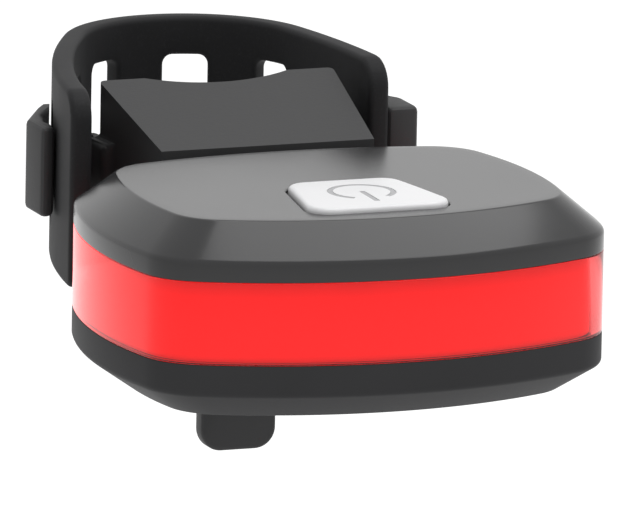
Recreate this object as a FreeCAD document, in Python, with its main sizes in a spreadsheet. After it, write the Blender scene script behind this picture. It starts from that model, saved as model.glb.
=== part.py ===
import FreeCAD, Part
import math
import os
import Sketcher

# Bicycle tail light on a rubber strap. Millimetres, +Z up along the post.
# The origin is on the post's axis at half the strap's height. The lens faces -Y.

SIZES = [
    # post, strap and where the light sits
    ("post_radius", 11.1),
    ("post_clearance", 0.3),
    ("post_to_light", 30.35),
    ("light_off_centre", 1.35),
    ("light_top", 4.15),
    ("strap_thickness", 2.2),
    ("strap_height", 20.0),
    ("strap_clearance", 0.05),
    ("strap_left_flare", 30.6),
    ("strap_right_flare", 13.6),
    ("strap_left_bend", 74.0),
    ("strap_right_bend", 89.0),
    ("strap_left_arm", 30.7),
    ("strap_right_arm", 18.5),
    ("strap_end_round_top", 3.0),
    ("strap_end_round_bottom", 1.2),
    ("hole_pitch", 10.6),
    ("hole_shift", 3.5),
    ("hole_width", 4.9),
    ("hole_height", 12.0),
    ("hole_round", 1.0),
    # outline of the light, seen from above
    ("half_width", 25.15),
    ("side_middle", 15.5),
    ("side_radius", 49.0),
    ("front_depth", 34.6),
    ("front_radius", 47.3),
    ("back_depth", 6.5),
    ("back_radius", 71.8),
    ("corner_radius", 5.1),
    # heights of the light's layers
    ("bevel_run", 4.1),
    ("top_bevel_drop", 3.4),
    ("top_band", 2.04),
    ("lens_height", 8.34),
    ("bottom_band", 3.1),
    ("bottom_bevel_drop", 2.8),
    ("cover_wall", 1.6),
    ("bevel_wall_drop", 0.6),
    ("bevel_wall_run", 0.5),
    ("sink", 0.2),
    ("part_gap", 0.1),
    # lens and lighting
    ("lens_wall", 1.0),
    ("rear_wall_half", 15.4),
    ("diffuser_inset", 1.2),
    ("diffuser_wall", 1.2),
    ("diffuser_back", 3.0),
    ("chip_inset", 4.1),
    ("chip_depth", 0.8),
    ("chip_gap", 0.05),
    ("chip_width", 2.6),
    ("chip_height", 2.4),
    ("chip_pitch", 3.9),
    ("strip_wall", 0.35),
    ("strip_height", 5.0),
    ("strip_half", 17.5),
    ("frame_wall", 1.2),
    ("frame_back", 2.0),
    ("seal_width", 0.9),
    ("seal_height", 0.9),
    # button
    ("button_back", 14.5),
    ("button_front", 27.4),
    ("button_half_back", 5.7),
    ("button_half_front", 7.8),
    ("button_round", 1.4),
    ("button_proud", 0.55),
    ("button_gap", 0.2),
    ("button_rim", 0.8),
    ("button_rim_thickness", 0.8),
    ("button_edge_round", 0.35),
    ("stem_radius", 1.6),
    ("symbol_radius", 3.15),
    ("symbol_line", 0.55),
    ("symbol_depth", 0.2),
    ("symbol_gap", 0.03),
    ("symbol_sink", 0.02),
    ("symbol_gap_angle", 34.0),
    ("symbol_bar_end", 4.4),
    # electronics
    ("board_top", 6.6),
    ("board_thickness", 0.8),
    ("board_half_width", 14.2),
    ("board_front", 24.6),
    ("board_back", 0.6),
    ("switch_size", 6.0),
    ("switch_height", 2.0),
    ("plunger_radius", 1.5),
    ("plunger_rise", 0.55),
    ("press_gap", 0.3),
    ("chip_size", 4.0),
    ("chip_rise", 1.0),
    ("chip_across", 5.0),
    ("chip_forward", 10.0),
    ("battery_half_width", 9.1),
    ("battery_front", 26.0),
    ("battery_length", 18.8),
    ("battery_height", 5.5),
    ("battery_round", 1.0),
    ("foam_height", 0.8),
    ("foam_inset", 1.0),
    ("socket_width", 8.9),
    ("socket_depth", 3.2),
    ("socket_wall", 0.3),
    ("socket_middle", 2.4),
    ("socket_mouth", 1.5),
    ("socket_flat", 0.4),
    ("socket_hollow", 6.0),
    ("tongue_half", 3.2),
    ("tongue_thickness", 0.7),
    ("tongue_tip", 1.2),
    ("tongue_length", 5.3),
    # charging flap
    ("flap_half_width", 6.6),
    ("flap_front", 5.9),
    ("flap_back", 0.9),
    ("flap_thickness", 1.0),
    ("flap_gap", 0.2),
    ("flap_plug", 0.4),
    ("flap_plug_gap", 0.6),
    ("port_boss", 1.2),
    ("port_boss_rim", 1.0),
    # screws
    ("screw_x", 11.8),
    ("screw_back", 4.2),
    ("screw_front", 21.4),
    ("screw_radius", 0.8),
    ("screw_head_radius", 1.5),
    ("screw_head_height", 1.1),
    ("screw_sink", 1.6),
    ("screw_length", 13.9),
    ("screw_hole_end", 0.6),
    ("boss_radius", 2.2),
    ("driver_radius", 0.75),
    ("driver_slot", 0.36),
    ("driver_depth", 0.45),
    # bracket
    ("bracket_gap", 0.6),
    ("bracket_half_front", 11.4),
    ("bracket_half_back", 12.6),
    ("bracket_bottom", 15.0),
    ("bracket_rise", 8.0),
    ("wedge_front", 5.2),
    ("wedge_lip", 1.2),
    ("wedge_foot", 3.0),
    ("wedge_slope", 15.8),
    ("cradle_radius", 18.7),
    ("cradle_depth", 1.65),
    ("pad_thickness", 1.2),
    ("pad_proud", 0.3),
    ("pad_half_width", 6.8),
    ("pad_height", 14.0),
    ("slot_lip", 4.0),
    ("slot_top", 5.0),
    # clip
    ("clip_plate_half", 7.0),
    ("clip_plate_thickness", 2.5),
    ("clip_gap", 0.3),
    ("clip_neck_half", 4.0),
    ("clip_neck_height", 6.3),
    ("clip_neck_drop", 0.9),
    ("clip_flange", 1.3),
    ("clip_flange_gap", 0.45),
    ("clip_flange_rim", 0.4),
    ("clip_tail", 32.8),
    ("clip_tail_thickness", 2.0),
    ("clip_tail_round", 2.2),
    # hooks
    ("hook_middle", 21.3),
    ("hook_length", 11.2),
    ("hook_flat", 4.8),
    ("hook_reach", 20.3),
    ("hook_shoulder", 18.1),
    ("hook_shoulder_back", 3.8),
    ("hook_end", 0.6),
    ("hook_top", 0.75),
    ("hook_height", 9.2),
    ("hook_gap", 0.2),
    ("hook_notch_middle", 20.7),
    ("hook_notch_length", 6.2),
    ("hook_notch_depth", 0.6),
    ("hook_notch_slant", 1.6),
    ("stem_left_middle", 22.6),
    ("stem_right_middle", 24.1),
    ("stem_width", 2.0),
    ("stem_height", 5.0),
    ("arm_outer", 13.4),
    ("arm_outer_tip", 13.2),
    ("arm_inner_tip", 11.5),
    ("arm_root", 10.4),
    ("arm_root_inner", 11.0),
    ("arm_root_front", 14.8),
    ("arm_root_bend", 17.0),
    ("arm_root_back", 19.4),
]

doc = FreeCAD.newDocument("TailLight")
sheet = doc.addObject("Spreadsheet::Sheet", "Sizes")
for row, (alias, size) in enumerate(SIZES, start=1):
    sheet.set("A%d" % row, alias)
    sheet.set("B%d" % row, str(size))
    sheet.setAlias("B%d" % row, alias)
doc.recompute()

# The vertical layers of the light, measured down from its top face
LENS_TOP = "(Sizes.top_bevel_drop + Sizes.top_band)"
LENS_BOTTOM = "(%s + Sizes.lens_height)" % LENS_TOP
BAND_BOTTOM = "(%s + Sizes.bottom_band)" % LENS_BOTTOM
LIGHT_BOTTOM = "(%s + Sizes.bottom_bevel_drop)" % BAND_BOTTOM
FLOOR = "(%s - Sizes.cover_wall)" % LIGHT_BOTTOM
BOARD_BOTTOM = "(Sizes.board_top + Sizes.board_thickness)"
CHIP_MIDDLE = "(%s + Sizes.lens_height / 2)" % LENS_TOP
BUTTON_MIDDLE = "((Sizes.button_back + Sizes.button_front) / 2)"
FAR = "60"

node_bodies = []


def number(expression):
    """Value of an expression on the sheet, as a plain number."""
    found = sheet.evalExpression(expression)
    return float(getattr(found, "Value", found))


def minus(expression):
    return "-(%s)" % expression


def plane_of(body, role):
    return [item for item in body.Origin.OriginFeatures if item.Role == role][0]


def new_body(label, on_light=True, keep=True):
    """An empty body. Those of the light share one placement in front of the post."""
    body = doc.addObject("PartDesign::Body", label)
    body.Label = label
    if on_light:
        body.setExpression("Placement.Base.x", "-Sizes.light_off_centre")
        body.setExpression("Placement.Base.y", "-Sizes.post_to_light")
        body.setExpression("Placement.Base.z", "Sizes.light_top")
    if keep:
        node_bodies.append(body)
    return body


def new_sketch(body, role="XY_Plane", height="0"):
    """A sketch on one of the body's own planes, moved along the plane's normal."""
    sketch = body.newObject("Sketcher::SketchObject", body.Name + "_sketch")
    sketch.AttachmentSupport = [(plane_of(body, role), "")]
    sketch.MapMode = "FlatFace"
    sketch.setExpression("AttachmentOffset.Base.z", height)
    return sketch


def dimension(sketch, kind, where, expression):
    index = sketch.addConstraint(Sketcher.Constraint(kind, *where, number(expression)))
    sketch.setExpression("Constraints[%d]" % index, expression)


def polygon(sketch, corners):
    """A closed outline of straight lines through corners given as expressions."""
    points = [FreeCAD.Vector(number(x), number(y), 0) for x, y in corners]
    first = sketch.GeometryCount
    count = len(points)
    for index in range(count):
        sketch.addGeometry(Part.LineSegment(points[index], points[(index + 1) % count]))
    for index in range(count):
        line = first + index
        following = first + (index + 1) % count
        sketch.addConstraint(Sketcher.Constraint("Coincident", line, 2, following, 1))
    for index, (x, y) in enumerate(corners):
        dimension(sketch, "DistanceX", (-1, 1, first + index, 1), x)
        dimension(sketch, "DistanceY", (-1, 1, first + index, 1), y)


def rectangle(sketch, left, right, low, high):
    polygon(sketch, [(left, low), (right, low), (right, high), (left, high)])


def rounded_rectangle(sketch, half_width, half_height, radius):
    """A rectangle about the sketch's origin with four equal round corners."""
    wide, tall, bend = number(half_width), number(half_height), number(radius)
    for index, (x, y) in enumerate(((1, -1), (1, 1), (-1, 1), (-1, -1))):
        middle = FreeCAD.Vector(x * (wide - bend), y * (tall - bend), 0)
        start = (index - 1) * math.pi / 2
        before = FreeCAD.Vector(math.cos(start), math.sin(start), 0)
        span = 2 * (tall - bend) if index % 2 else 2 * (wide - bend)
        along = FreeCAD.Vector(-math.sin(start), math.cos(start), 0)
        sketch.addGeometry(Part.LineSegment(middle + before * bend - along * span, middle + before * bend))
        full = Part.Circle(middle, FreeCAD.Vector(0, 0, 1), bend)
        sketch.addGeometry(Part.ArcOfCircle(full, start, start + math.pi / 2))
    for index in range(4):
        line, arc = 2 * index, 2 * index + 1
        sketch.addConstraint(Sketcher.Constraint("Tangent", line, 2, arc, 1))
        sketch.addConstraint(Sketcher.Constraint("Tangent", arc, 2, (line + 2) % 8, 1))
        sketch.addConstraint(Sketcher.Constraint("Vertical" if index % 2 else "Horizontal", line))
        dimension(sketch, "Radius", (arc,), radius)
    dimension(sketch, "DistanceY", (-1, 1, 0, 1), minus(half_height))
    dimension(sketch, "DistanceX", (-1, 1, 2, 1), half_width)
    dimension(sketch, "DistanceY", (-1, 1, 4, 1), half_height)
    dimension(sketch, "DistanceX", (-1, 1, 6, 1), minus(half_width))


def circle(sketch, x, y, radius):
    middle = FreeCAD.Vector(number(x), number(y), 0)
    index = sketch.addGeometry(Part.Circle(middle, FreeCAD.Vector(0, 0, 1), number(radius)))
    dimension(sketch, "DistanceX", (-1, 1, index, 3), x)
    dimension(sketch, "DistanceY", (-1, 1, index, 3), y)
    dimension(sketch, "Radius", (index,), radius)


def outline(sketch, inset="0"):
    """The light's outline, drawn in by an inset: four long arcs and four corner arcs."""
    radii = {
        "side": "Sizes.side_radius - (%s)" % inset,
        "front": "Sizes.front_radius - (%s)" % inset,
        "back": "Sizes.back_radius - (%s)" % inset,
        "corner": "max(Sizes.corner_radius - (%s); 0.3)" % inset,
    }
    side, front = number(radii["side"]), number(radii["front"])
    back, corner = number(radii["back"]), number(radii["corner"])
    side_x = number("Sizes.half_width - Sizes.side_radius")
    side_y = number("-Sizes.side_middle")
    front_y = number("Sizes.front_radius - Sizes.front_depth")
    back_y = number("Sizes.back_depth - Sizes.back_radius")

    def corner_centre(long_y, long_radius, sign):
        """Centre of the corner arc that touches a side arc and the front or back arc."""
        near = side - corner
        far = long_radius - corner
        across = -side_x
        along = long_y - side_y
        span = math.hypot(across, along)
        reach = (near * near - far * far + span * span) / (2 * span)
        rise = math.sqrt(near * near - reach * reach)
        base = (side_x + across * reach / span, side_y + along * reach / span)
        one = (base[0] - along * rise / span, base[1] + across * rise / span)
        two = (base[0] + along * rise / span, base[1] - across * rise / span)
        return max((one, two), key=lambda point: sign * point[1])

    centres = {}
    for sign_y, long_y, long_radius in ((1, back_y, back), (-1, front_y, front)):
        x, y = corner_centre(long_y, long_radius, sign_y)
        for sign_x in (1, -1):
            centres[(sign_x, sign_y)] = (sign_x * x, y)

    def joint(centre, radius, corner_middle):
        """The point where a long arc runs into a corner arc."""
        away = math.atan2(corner_middle[1] - centre[1], corner_middle[0] - centre[0])
        return (centre[0] + radius * math.cos(away), centre[1] + radius * math.sin(away))

    longs = [
        ((side_x, side_y), side, (1, -1), (1, 1)),
        ((0.0, back_y), back, (1, 1), (-1, 1)),
        ((-side_x, side_y), side, (-1, 1), (-1, -1)),
        ((0.0, front_y), front, (-1, -1), (1, -1)),
    ]
    first = sketch.GeometryCount
    normal = FreeCAD.Vector(0, 0, 1)

    def add_arc(centre, radius, start, finish):
        begin = math.atan2(start[1] - centre[1], start[0] - centre[0])
        end = math.atan2(finish[1] - centre[1], finish[0] - centre[0])
        if end < begin:
            end += 2 * math.pi
        middle = FreeCAD.Vector(centre[0], centre[1], 0)
        sketch.addGeometry(Part.ArcOfCircle(Part.Circle(middle, normal, radius), begin, end))

    for index, (centre, radius, before, after) in enumerate(longs):
        start = joint(centre, radius, centres[before])
        finish = joint(centre, radius, centres[after])
        add_arc(centre, radius, start, finish)
        following = longs[(index + 1) % 4]
        onward = joint(following[0], following[1], centres[after])
        add_arc(centres[after], corner, finish, onward)
    for index in range(8):
        here = first + index
        following = first + (index + 1) % 8
        sketch.addConstraint(Sketcher.Constraint("Tangent", here, 2, following, 1))
    names = ["side", "corner", "back", "corner", "side", "corner", "front", "corner"]
    for index, name in enumerate(names):
        dimension(sketch, "Radius", (first + index,), radii[name])
    for index in (2, 6):
        sketch.addConstraint(Sketcher.Constraint("PointOnObject", first + index, 3, -2))
    dimension(sketch, "DistanceY", (-1, 1, first + 2, 3), "Sizes.back_depth - Sizes.back_radius")
    dimension(sketch, "DistanceY", (-1, 1, first + 6, 3), "Sizes.front_radius - Sizes.front_depth")
    for index, sign in ((0, ""), (4, "-")):
        place = "%s(Sizes.half_width - Sizes.side_radius)" % sign
        dimension(sketch, "DistanceX", (-1, 1, first + index, 3), place)
        dimension(sketch, "DistanceY", (-1, 1, first + index, 3), "-Sizes.side_middle")


def pad(body, sketch, length, reverse=False, both=False):
    feature = body.newObject("PartDesign::Pad", body.Name + "_pad")
    feature.Profile = sketch
    feature.setExpression("Length", length)
    feature.Reversed = reverse
    if both:
        feature.SideType = "Symmetric"
    doc.recompute()
    return feature


def pocket(body, sketch, length, reverse=False, both=False):
    """Cut a sketch out of the body, and stop if nothing was cut."""
    before = body.Shape.Volume
    feature = body.newObject("PartDesign::Pocket", body.Name + "_pocket")
    feature.Profile = sketch
    feature.setExpression("Length", length)
    feature.Reversed = reverse
    if both:
        feature.SideType = "Symmetric"
    doc.recompute()
    if body.Shape.Volume > before - 1e-4:
        raise RuntimeError("a pocket cut nothing from " + body.Label)
    return feature


def edges_where(feature, wanted):
    """Names of a feature's edges, tested in the body's own frame."""
    names = []
    for index, edge in enumerate(feature.Shape.Edges, start=1):
        if wanted(edge):
            names.append("Edge%d" % index)
    return names


def round_edges(body, radius, wanted):
    base = body.Tip
    found = edges_where(base, wanted)
    if not found:
        raise RuntimeError("no edge to round on " + body.Label)
    feature = body.newObject("PartDesign::Fillet", body.Name + "_fillet")
    feature.Base = (base, found)
    feature.setExpression("Radius", radius)
    body.Tip = feature
    doc.recompute()
    return feature


def at_height(edge, height):
    box = edge.BoundBox
    return abs(box.ZMin - height) < 1e-4 and abs(box.ZMax - height) < 1e-4


def upright(edge):
    box = edge.BoundBox
    return box.XLength < 1e-4 and box.YLength < 1e-4


def bevel_rim(body, height, drop, upward):
    """Slant the whole rim at a height: a run inwards and a drop along Z."""
    base = body.Tip
    feature = body.newObject("PartDesign::Chamfer", body.Name + "_bevel")
    feature.Base = (base, edges_where(base, lambda edge: at_height(edge, height)))
    feature.ChamferType = "Two distances"
    feature.setExpression("Size", "Sizes.bevel_run")
    feature.setExpression("Size2", drop)
    feature.FlipDirection = upward
    body.Tip = feature
    doc.recompute()
    return feature


def ring(label, top, height, inset, wall, keep=True):
    """A band of one wall thickness that follows the outline."""
    body = new_body(label, keep=keep)
    sketch = new_sketch(body, height=minus(top))
    outline(sketch, inset)
    outline(sketch, "(%s) + (%s)" % (inset, wall))
    pad(body, sketch, height, reverse=True)
    return body


def cut_behind(body, top, height, back):
    """Open a band at the rear: everything behind a line across the light goes."""
    sketch = new_sketch(body, height=minus(top))
    rectangle(sketch, minus(FAR), FAR, back, FAR)
    pocket(body, sketch, height)


def screw_places():
    for side in ("", "-"):
        for depth in ("Sizes.screw_back", "Sizes.screw_front"):
            yield "%sSizes.screw_x" % side, "-" + depth


# Covers

def button_outline(sketch, grow="0"):
    """Keystone outline of the button, wider at the front, grown by an amount."""
    back = "-Sizes.button_back + (%s)" % grow
    front = "-Sizes.button_front - (%s)" % grow
    half_back = "(Sizes.button_half_back + (%s))" % grow
    half_front = "(Sizes.button_half_front + (%s))" % grow
    polygon(sketch, [("-" + half_front, front), (half_front, front),
                     (half_back, back), ("-" + half_back, back)])


def make_top_cover():
    body = new_body("top_cover")
    sketch = new_sketch(body)
    outline(sketch)
    pad(body, sketch, LENS_TOP, reverse=True)
    bevel_rim(body, 0.0, "Sizes.top_bevel_drop", True)
    ceiling = [("Sizes.cover_wall", "Sizes.top_bevel_drop + Sizes.bevel_wall_drop"),
               ("Sizes.cover_wall + Sizes.bevel_run - Sizes.bevel_wall_run", "Sizes.cover_wall")]
    for inset, depth in ceiling:
        sketch = new_sketch(body, height=minus(LENS_TOP))
        outline(sketch, inset)
        pocket(body, sketch, "%s - (%s)" % (LENS_TOP, depth), reverse=True)
    for x, y in screw_places():
        sketch = new_sketch(body, height="-Sizes.cover_wall + Sizes.sink")
        circle(sketch, x, y, "Sizes.boss_radius")
        boss = "Sizes.board_top - Sizes.cover_wall + Sizes.sink - Sizes.part_gap / 2"
        pad(body, sketch, boss, reverse=True)
        sketch = new_sketch(body, height="-Sizes.board_top")
        circle(sketch, x, y, "Sizes.screw_radius + Sizes.part_gap / 2")
        pocket(body, sketch, "Sizes.board_top - Sizes.cover_wall - Sizes.screw_hole_end", reverse=True)
    sketch = new_sketch(body)
    button_outline(sketch, "Sizes.button_gap")
    pocket(body, sketch, "Sizes.cover_wall + Sizes.sink")
    reach = number("Sizes.button_half_front + 2 * Sizes.button_gap")

    def in_opening(edge):
        return upright(edge) and abs(edge.BoundBox.XMax) < reach and abs(edge.BoundBox.ZMax) < 1e-4

    round_edges(body, "Sizes.button_round + Sizes.button_gap", in_opening)
    return body


def make_bottom_cover():
    body = new_body("bottom_cover")
    sketch = new_sketch(body, height=minus(LENS_BOTTOM))
    outline(sketch)
    pad(body, sketch, "%s - %s" % (LIGHT_BOTTOM, LENS_BOTTOM), reverse=True)
    bevel_rim(body, -number(LIGHT_BOTTOM), "Sizes.bottom_bevel_drop", True)
    floors = [("Sizes.cover_wall", "%s - Sizes.bevel_wall_drop" % BAND_BOTTOM),
              ("Sizes.cover_wall + Sizes.bevel_run - Sizes.bevel_wall_run", FLOOR)]
    for inset, depth in floors:
        sketch = new_sketch(body, height=minus(LENS_BOTTOM))
        outline(sketch, inset)
        pocket(body, sketch, "%s - %s" % (depth, LENS_BOTTOM))
    add_rear_wall(body)
    for x, y in screw_places():
        sketch = new_sketch(body, height=minus(BOARD_BOTTOM + " + Sizes.part_gap / 2"))
        circle(sketch, x, y, "Sizes.boss_radius")
        pad(body, sketch, "%s - %s + Sizes.sink" % (FLOOR, BOARD_BOTTOM), reverse=True)
        for radius, depth in (("Sizes.screw_radius + Sizes.part_gap / 2", LIGHT_BOTTOM),
                              ("Sizes.screw_head_radius + Sizes.part_gap",
                               "Sizes.screw_sink + Sizes.screw_head_height")):
            sketch = new_sketch(body, height=minus(LIGHT_BOTTOM))
            circle(sketch, x, y, radius)
            pocket(body, sketch, depth, reverse=True)
    add_port(body)
    return body


def add_rear_wall(body):
    """The wall between the lens's two rear ends, with the opening for the clip's neck."""
    half = number("Sizes.rear_wall_half")
    centre_y = number("Sizes.back_depth - Sizes.back_radius")
    outer = number("Sizes.back_radius")
    inner = outer - number("Sizes.cover_wall")
    top = "%s + Sizes.part_gap" % LENS_TOP
    sketch = new_sketch(body, height=minus(LENS_BOTTOM + " + Sizes.sink"))
    middle = FreeCAD.Vector(0, centre_y, 0)
    corners = []
    for radius in (outer, inner):
        rise = math.sqrt(radius * radius - half * half)
        height = centre_y + rise
        corners.append((FreeCAD.Vector(half, height, 0), FreeCAD.Vector(-half, height, 0)))
        angle = math.acos(half / radius)
        arc = Part.ArcOfCircle(Part.Circle(middle, FreeCAD.Vector(0, 0, 1), radius), angle, math.pi - angle)
        sketch.addGeometry(arc)
    for side in (0, 1):
        sketch.addGeometry(Part.LineSegment(corners[0][side], corners[1][side]))
        sketch.addConstraint(Sketcher.Constraint("Coincident", 0, side + 1, 2 + side, 1))
        sketch.addConstraint(Sketcher.Constraint("Coincident", 1, side + 1, 2 + side, 2))
        sketch.addConstraint(Sketcher.Constraint("Vertical", 2 + side))
    for arc, radius in ((0, "Sizes.back_radius"), (1, "Sizes.back_radius - Sizes.cover_wall")):
        dimension(sketch, "Radius", (arc,), radius)
        dimension(sketch, "DistanceY", (-1, 1, arc, 3), "Sizes.back_depth - Sizes.back_radius")
        sketch.addConstraint(Sketcher.Constraint("PointOnObject", arc, 3, -2))
    dimension(sketch, "DistanceX", (-1, 1, 2, 1), "Sizes.rear_wall_half")
    dimension(sketch, "DistanceX", (-1, 1, 3, 1), "-Sizes.rear_wall_half")
    pad(body, sketch, "%s + Sizes.sink - (%s)" % (LENS_BOTTOM, top))
    sketch = new_sketch(body, "XZ_Plane", "-Sizes.back_depth + Sizes.cover_wall * 2")
    low = minus("%s + Sizes.clip_neck_height + Sizes.part_gap" % NECK_TOP)
    high = minus("%s - Sizes.part_gap" % NECK_TOP)
    rectangle(sketch, "-(Sizes.clip_neck_half + Sizes.part_gap)",
              "Sizes.clip_neck_half + Sizes.part_gap", low, high)
    pocket(body, sketch, "Sizes.cover_wall * 3")


def add_port(body):
    """Recess for the flap, and the hole that the charging plug goes through."""
    boss_top = "%s - Sizes.port_boss" % FLOOR
    half_width = "(Sizes.socket_width / 2 + Sizes.part_gap)"
    half_depth = "(Sizes.socket_depth / 2 + Sizes.part_gap)"
    sketch = new_sketch(body, height=minus(boss_top))
    rim = "Sizes.port_boss_rim"
    rectangle(sketch, "-Sizes.flap_half_width - " + rim, "Sizes.flap_half_width + " + rim,
              "-Sizes.flap_front - " + rim, "Sizes.flap_back + " + rim)
    pad(body, sketch, "Sizes.port_boss + Sizes.sink", reverse=True)
    sketch = new_sketch(body, height=minus(LIGHT_BOTTOM))
    rectangle(sketch, "-Sizes.flap_half_width - Sizes.flap_gap", "Sizes.flap_half_width + Sizes.flap_gap",
              "-Sizes.flap_front - Sizes.flap_gap", "Sizes.flap_back + Sizes.flap_gap")
    pocket(body, sketch, "Sizes.flap_thickness + Sizes.flap_gap", reverse=True)
    sketch = new_sketch(body, height=minus(LIGHT_BOTTOM))
    rectangle(sketch, "-" + half_width, half_width, "-Sizes.socket_middle - " + half_depth,
              "-Sizes.socket_middle + " + half_depth)
    pocket(body, sketch, "Sizes.cover_wall + Sizes.port_boss + Sizes.sink", reverse=True)


# Lens and lighting

def make_lens():
    body = ring("lens", LENS_TOP, "Sizes.lens_height", "0", "Sizes.lens_wall")
    sketch = new_sketch(body, height=minus(LENS_TOP))
    half = "(Sizes.rear_wall_half + Sizes.part_gap)"
    rectangle(sketch, "-" + half, half, "0", FAR)
    pocket(body, sketch, "Sizes.lens_height")
    return body


INNER_TOP = "(%s + Sizes.part_gap)" % LENS_TOP
INNER_HEIGHT = "(Sizes.lens_height - 2 * Sizes.part_gap)"
STRIP_INSET = "(Sizes.chip_inset + Sizes.chip_depth)"
FRAME_INSET = "(%s + Sizes.strip_wall)" % STRIP_INSET
STRIP_TOP = "(%s - Sizes.strip_height / 2)" % CHIP_MIDDLE
NECK_TOP = "(Sizes.slot_top + Sizes.clip_gap + Sizes.clip_neck_drop)"


def make_diffuser():
    body = ring("diffuser", INNER_TOP, INNER_HEIGHT, "Sizes.diffuser_inset", "Sizes.diffuser_wall")
    cut_behind(body, INNER_TOP, INNER_HEIGHT, "-Sizes.diffuser_back")


def make_led_strip():
    body = ring("led_strip", STRIP_TOP, "Sizes.strip_height", STRIP_INSET, "Sizes.strip_wall")
    sketch = new_sketch(body, height=minus(STRIP_TOP))
    rectangle(sketch, minus(FAR), FAR, "-Sizes.side_middle", FAR)
    pocket(body, sketch, "Sizes.strip_height")
    for side in ("", "-"):
        sketch = new_sketch(body, height=minus(STRIP_TOP))
        rectangle(sketch, side + "Sizes.strip_half", side + FAR, minus(FAR), FAR)
        pocket(body, sketch, "Sizes.strip_height")


def make_led_frame():
    top = "(%s + Sizes.part_gap)" % BOARD_BOTTOM
    height = "(%s - Sizes.part_gap - %s)" % (FLOOR, top)
    body = ring("led_frame", top, height, FRAME_INSET, "Sizes.frame_wall")
    cut_behind(body, top, height, "-Sizes.frame_back")


def make_led_chips():
    """Equal chips spread along the front arc, each square to the arc."""
    chips = []
    count = 2 * int(number("(Sizes.strip_half - Sizes.chip_width) / Sizes.chip_pitch")) + 1
    radius = number("Sizes.front_radius - Sizes.chip_inset")
    centre_y = number("Sizes.front_radius - Sizes.front_depth")
    width = number("Sizes.chip_width")
    depth = number("Sizes.chip_depth - Sizes.chip_gap")
    height = number("Sizes.chip_height")
    low = -number(CHIP_MIDDLE) - height / 2
    step = number("Sizes.chip_pitch") / radius
    for index in range(count):
        chip = Part.makeBox(width, depth, height, FreeCAD.Vector(-width / 2, centre_y - radius, low))
        turn = (index - (count - 1) / 2) * step
        chip.rotate(FreeCAD.Vector(0, centre_y, 0), FreeCAD.Vector(0, 0, 1), math.degrees(turn))
        chips.append(chip)
    add_group("led_chips", chips)


def add_group(label, solids):
    """One node of separate equal solids, placed with the light."""
    group = doc.addObject("Part::Feature", label)
    group.Label = label
    group.Shape = Part.makeCompound(solids)
    group.setExpression("Placement.Base.x", "-Sizes.light_off_centre")
    group.setExpression("Placement.Base.y", "-Sizes.post_to_light")
    group.setExpression("Placement.Base.z", "Sizes.light_top")
    node_bodies.append(group)


def make_seals():
    """A soft ring in each cover, just inside the lens."""
    for label, top in (("upper_seal", "(%s - Sizes.seal_height)" % LENS_TOP), ("lower_seal", LENS_BOTTOM)):
        ring(label, top, "Sizes.seal_height", "Sizes.cover_wall + Sizes.part_gap", "Sizes.seal_width")


# Button

def make_button():
    body = new_body("power_button")
    sketch = new_sketch(body, height="Sizes.button_proud")
    button_outline(sketch)
    depth = "Sizes.button_proud + Sizes.cover_wall + Sizes.button_rim_thickness / 2"
    pad(body, sketch, depth, reverse=True)
    round_edges(body, "Sizes.button_round", upright)
    proud = number("Sizes.button_proud")
    round_edges(body, "Sizes.button_edge_round", lambda edge: at_height(edge, proud))
    sketch = new_sketch(body, height="-Sizes.cover_wall - Sizes.part_gap / 2")
    button_outline(sketch, "Sizes.button_rim")
    pad(body, sketch, "Sizes.button_rim_thickness", reverse=True)
    sketch = new_sketch(body, height="-Sizes.cover_wall - Sizes.button_rim_thickness / 2")
    circle(sketch, "0", minus(BUTTON_MIDDLE), "Sizes.stem_radius")
    pad(body, sketch, "(%s) - Sizes.cover_wall - Sizes.button_rim_thickness / 2" % STEM_END, reverse=True)
    cut_symbol(body)
    return body


PLUNGER_TOP = "(Sizes.board_top - Sizes.switch_height - Sizes.plunger_rise)"
STEM_END = "(%s - Sizes.press_gap)" % PLUNGER_TOP


def symbol_shapes(sketch, grow):
    """Standby sign: an open ring and a bar that points to the front, grown by an amount."""
    half = "(Sizes.symbol_line / 2 + %s)" % grow
    radii = ("(Sizes.symbol_radius - %s)" % half, "(Sizes.symbol_radius + %s)" % half)
    gap = "(Sizes.symbol_gap_angle - %s / Sizes.symbol_radius * 180 / pi)" % grow
    open_half = math.radians(number(gap))
    start, finish = open_half - math.pi / 2, 1.5 * math.pi - open_half
    centre = FreeCAD.Vector(0, -number(BUTTON_MIDDLE), 0)
    for radius in radii:
        full = Part.Circle(centre, FreeCAD.Vector(0, 0, 1), number(radius))
        sketch.addGeometry(Part.ArcOfCircle(full, start, finish))
    for angle in (start, finish):
        way = FreeCAD.Vector(math.cos(angle), math.sin(angle), 0)
        ends = [centre + way * number(radius) for radius in radii]
        sketch.addGeometry(Part.LineSegment(ends[0], ends[1]))
    for arc, radius in enumerate(radii):
        dimension(sketch, "Radius", (arc,), radius)
        for tip, line in ((1, 2), (2, 3)):
            sketch.addConstraint(Sketcher.Constraint("Coincident", line, arc + 1, arc, tip))
    sketch.addConstraint(Sketcher.Constraint("Coincident", 0, 3, 1, 3))
    sketch.addConstraint(Sketcher.Constraint("PointOnObject", 0, 3, -2))
    dimension(sketch, "DistanceY", (-1, 1, 0, 3), minus(BUTTON_MIDDLE))
    for tip, line, side in ((1, 2, ""), (2, 3, "-")):
        sketch.addConstraint(Sketcher.Constraint("PointOnObject", 0, 3, line))
        dimension(sketch, "DistanceX", (-1, 1, 0, tip), "%s%s * sin(%s)" % (side, radii[0], gap))
    front = "-%s - Sizes.symbol_bar_end - %s" % (BUTTON_MIDDLE, grow)
    back = "-%s + %s" % (BUTTON_MIDDLE, grow)
    rectangle(sketch, minus(half), half, front, back)


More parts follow.
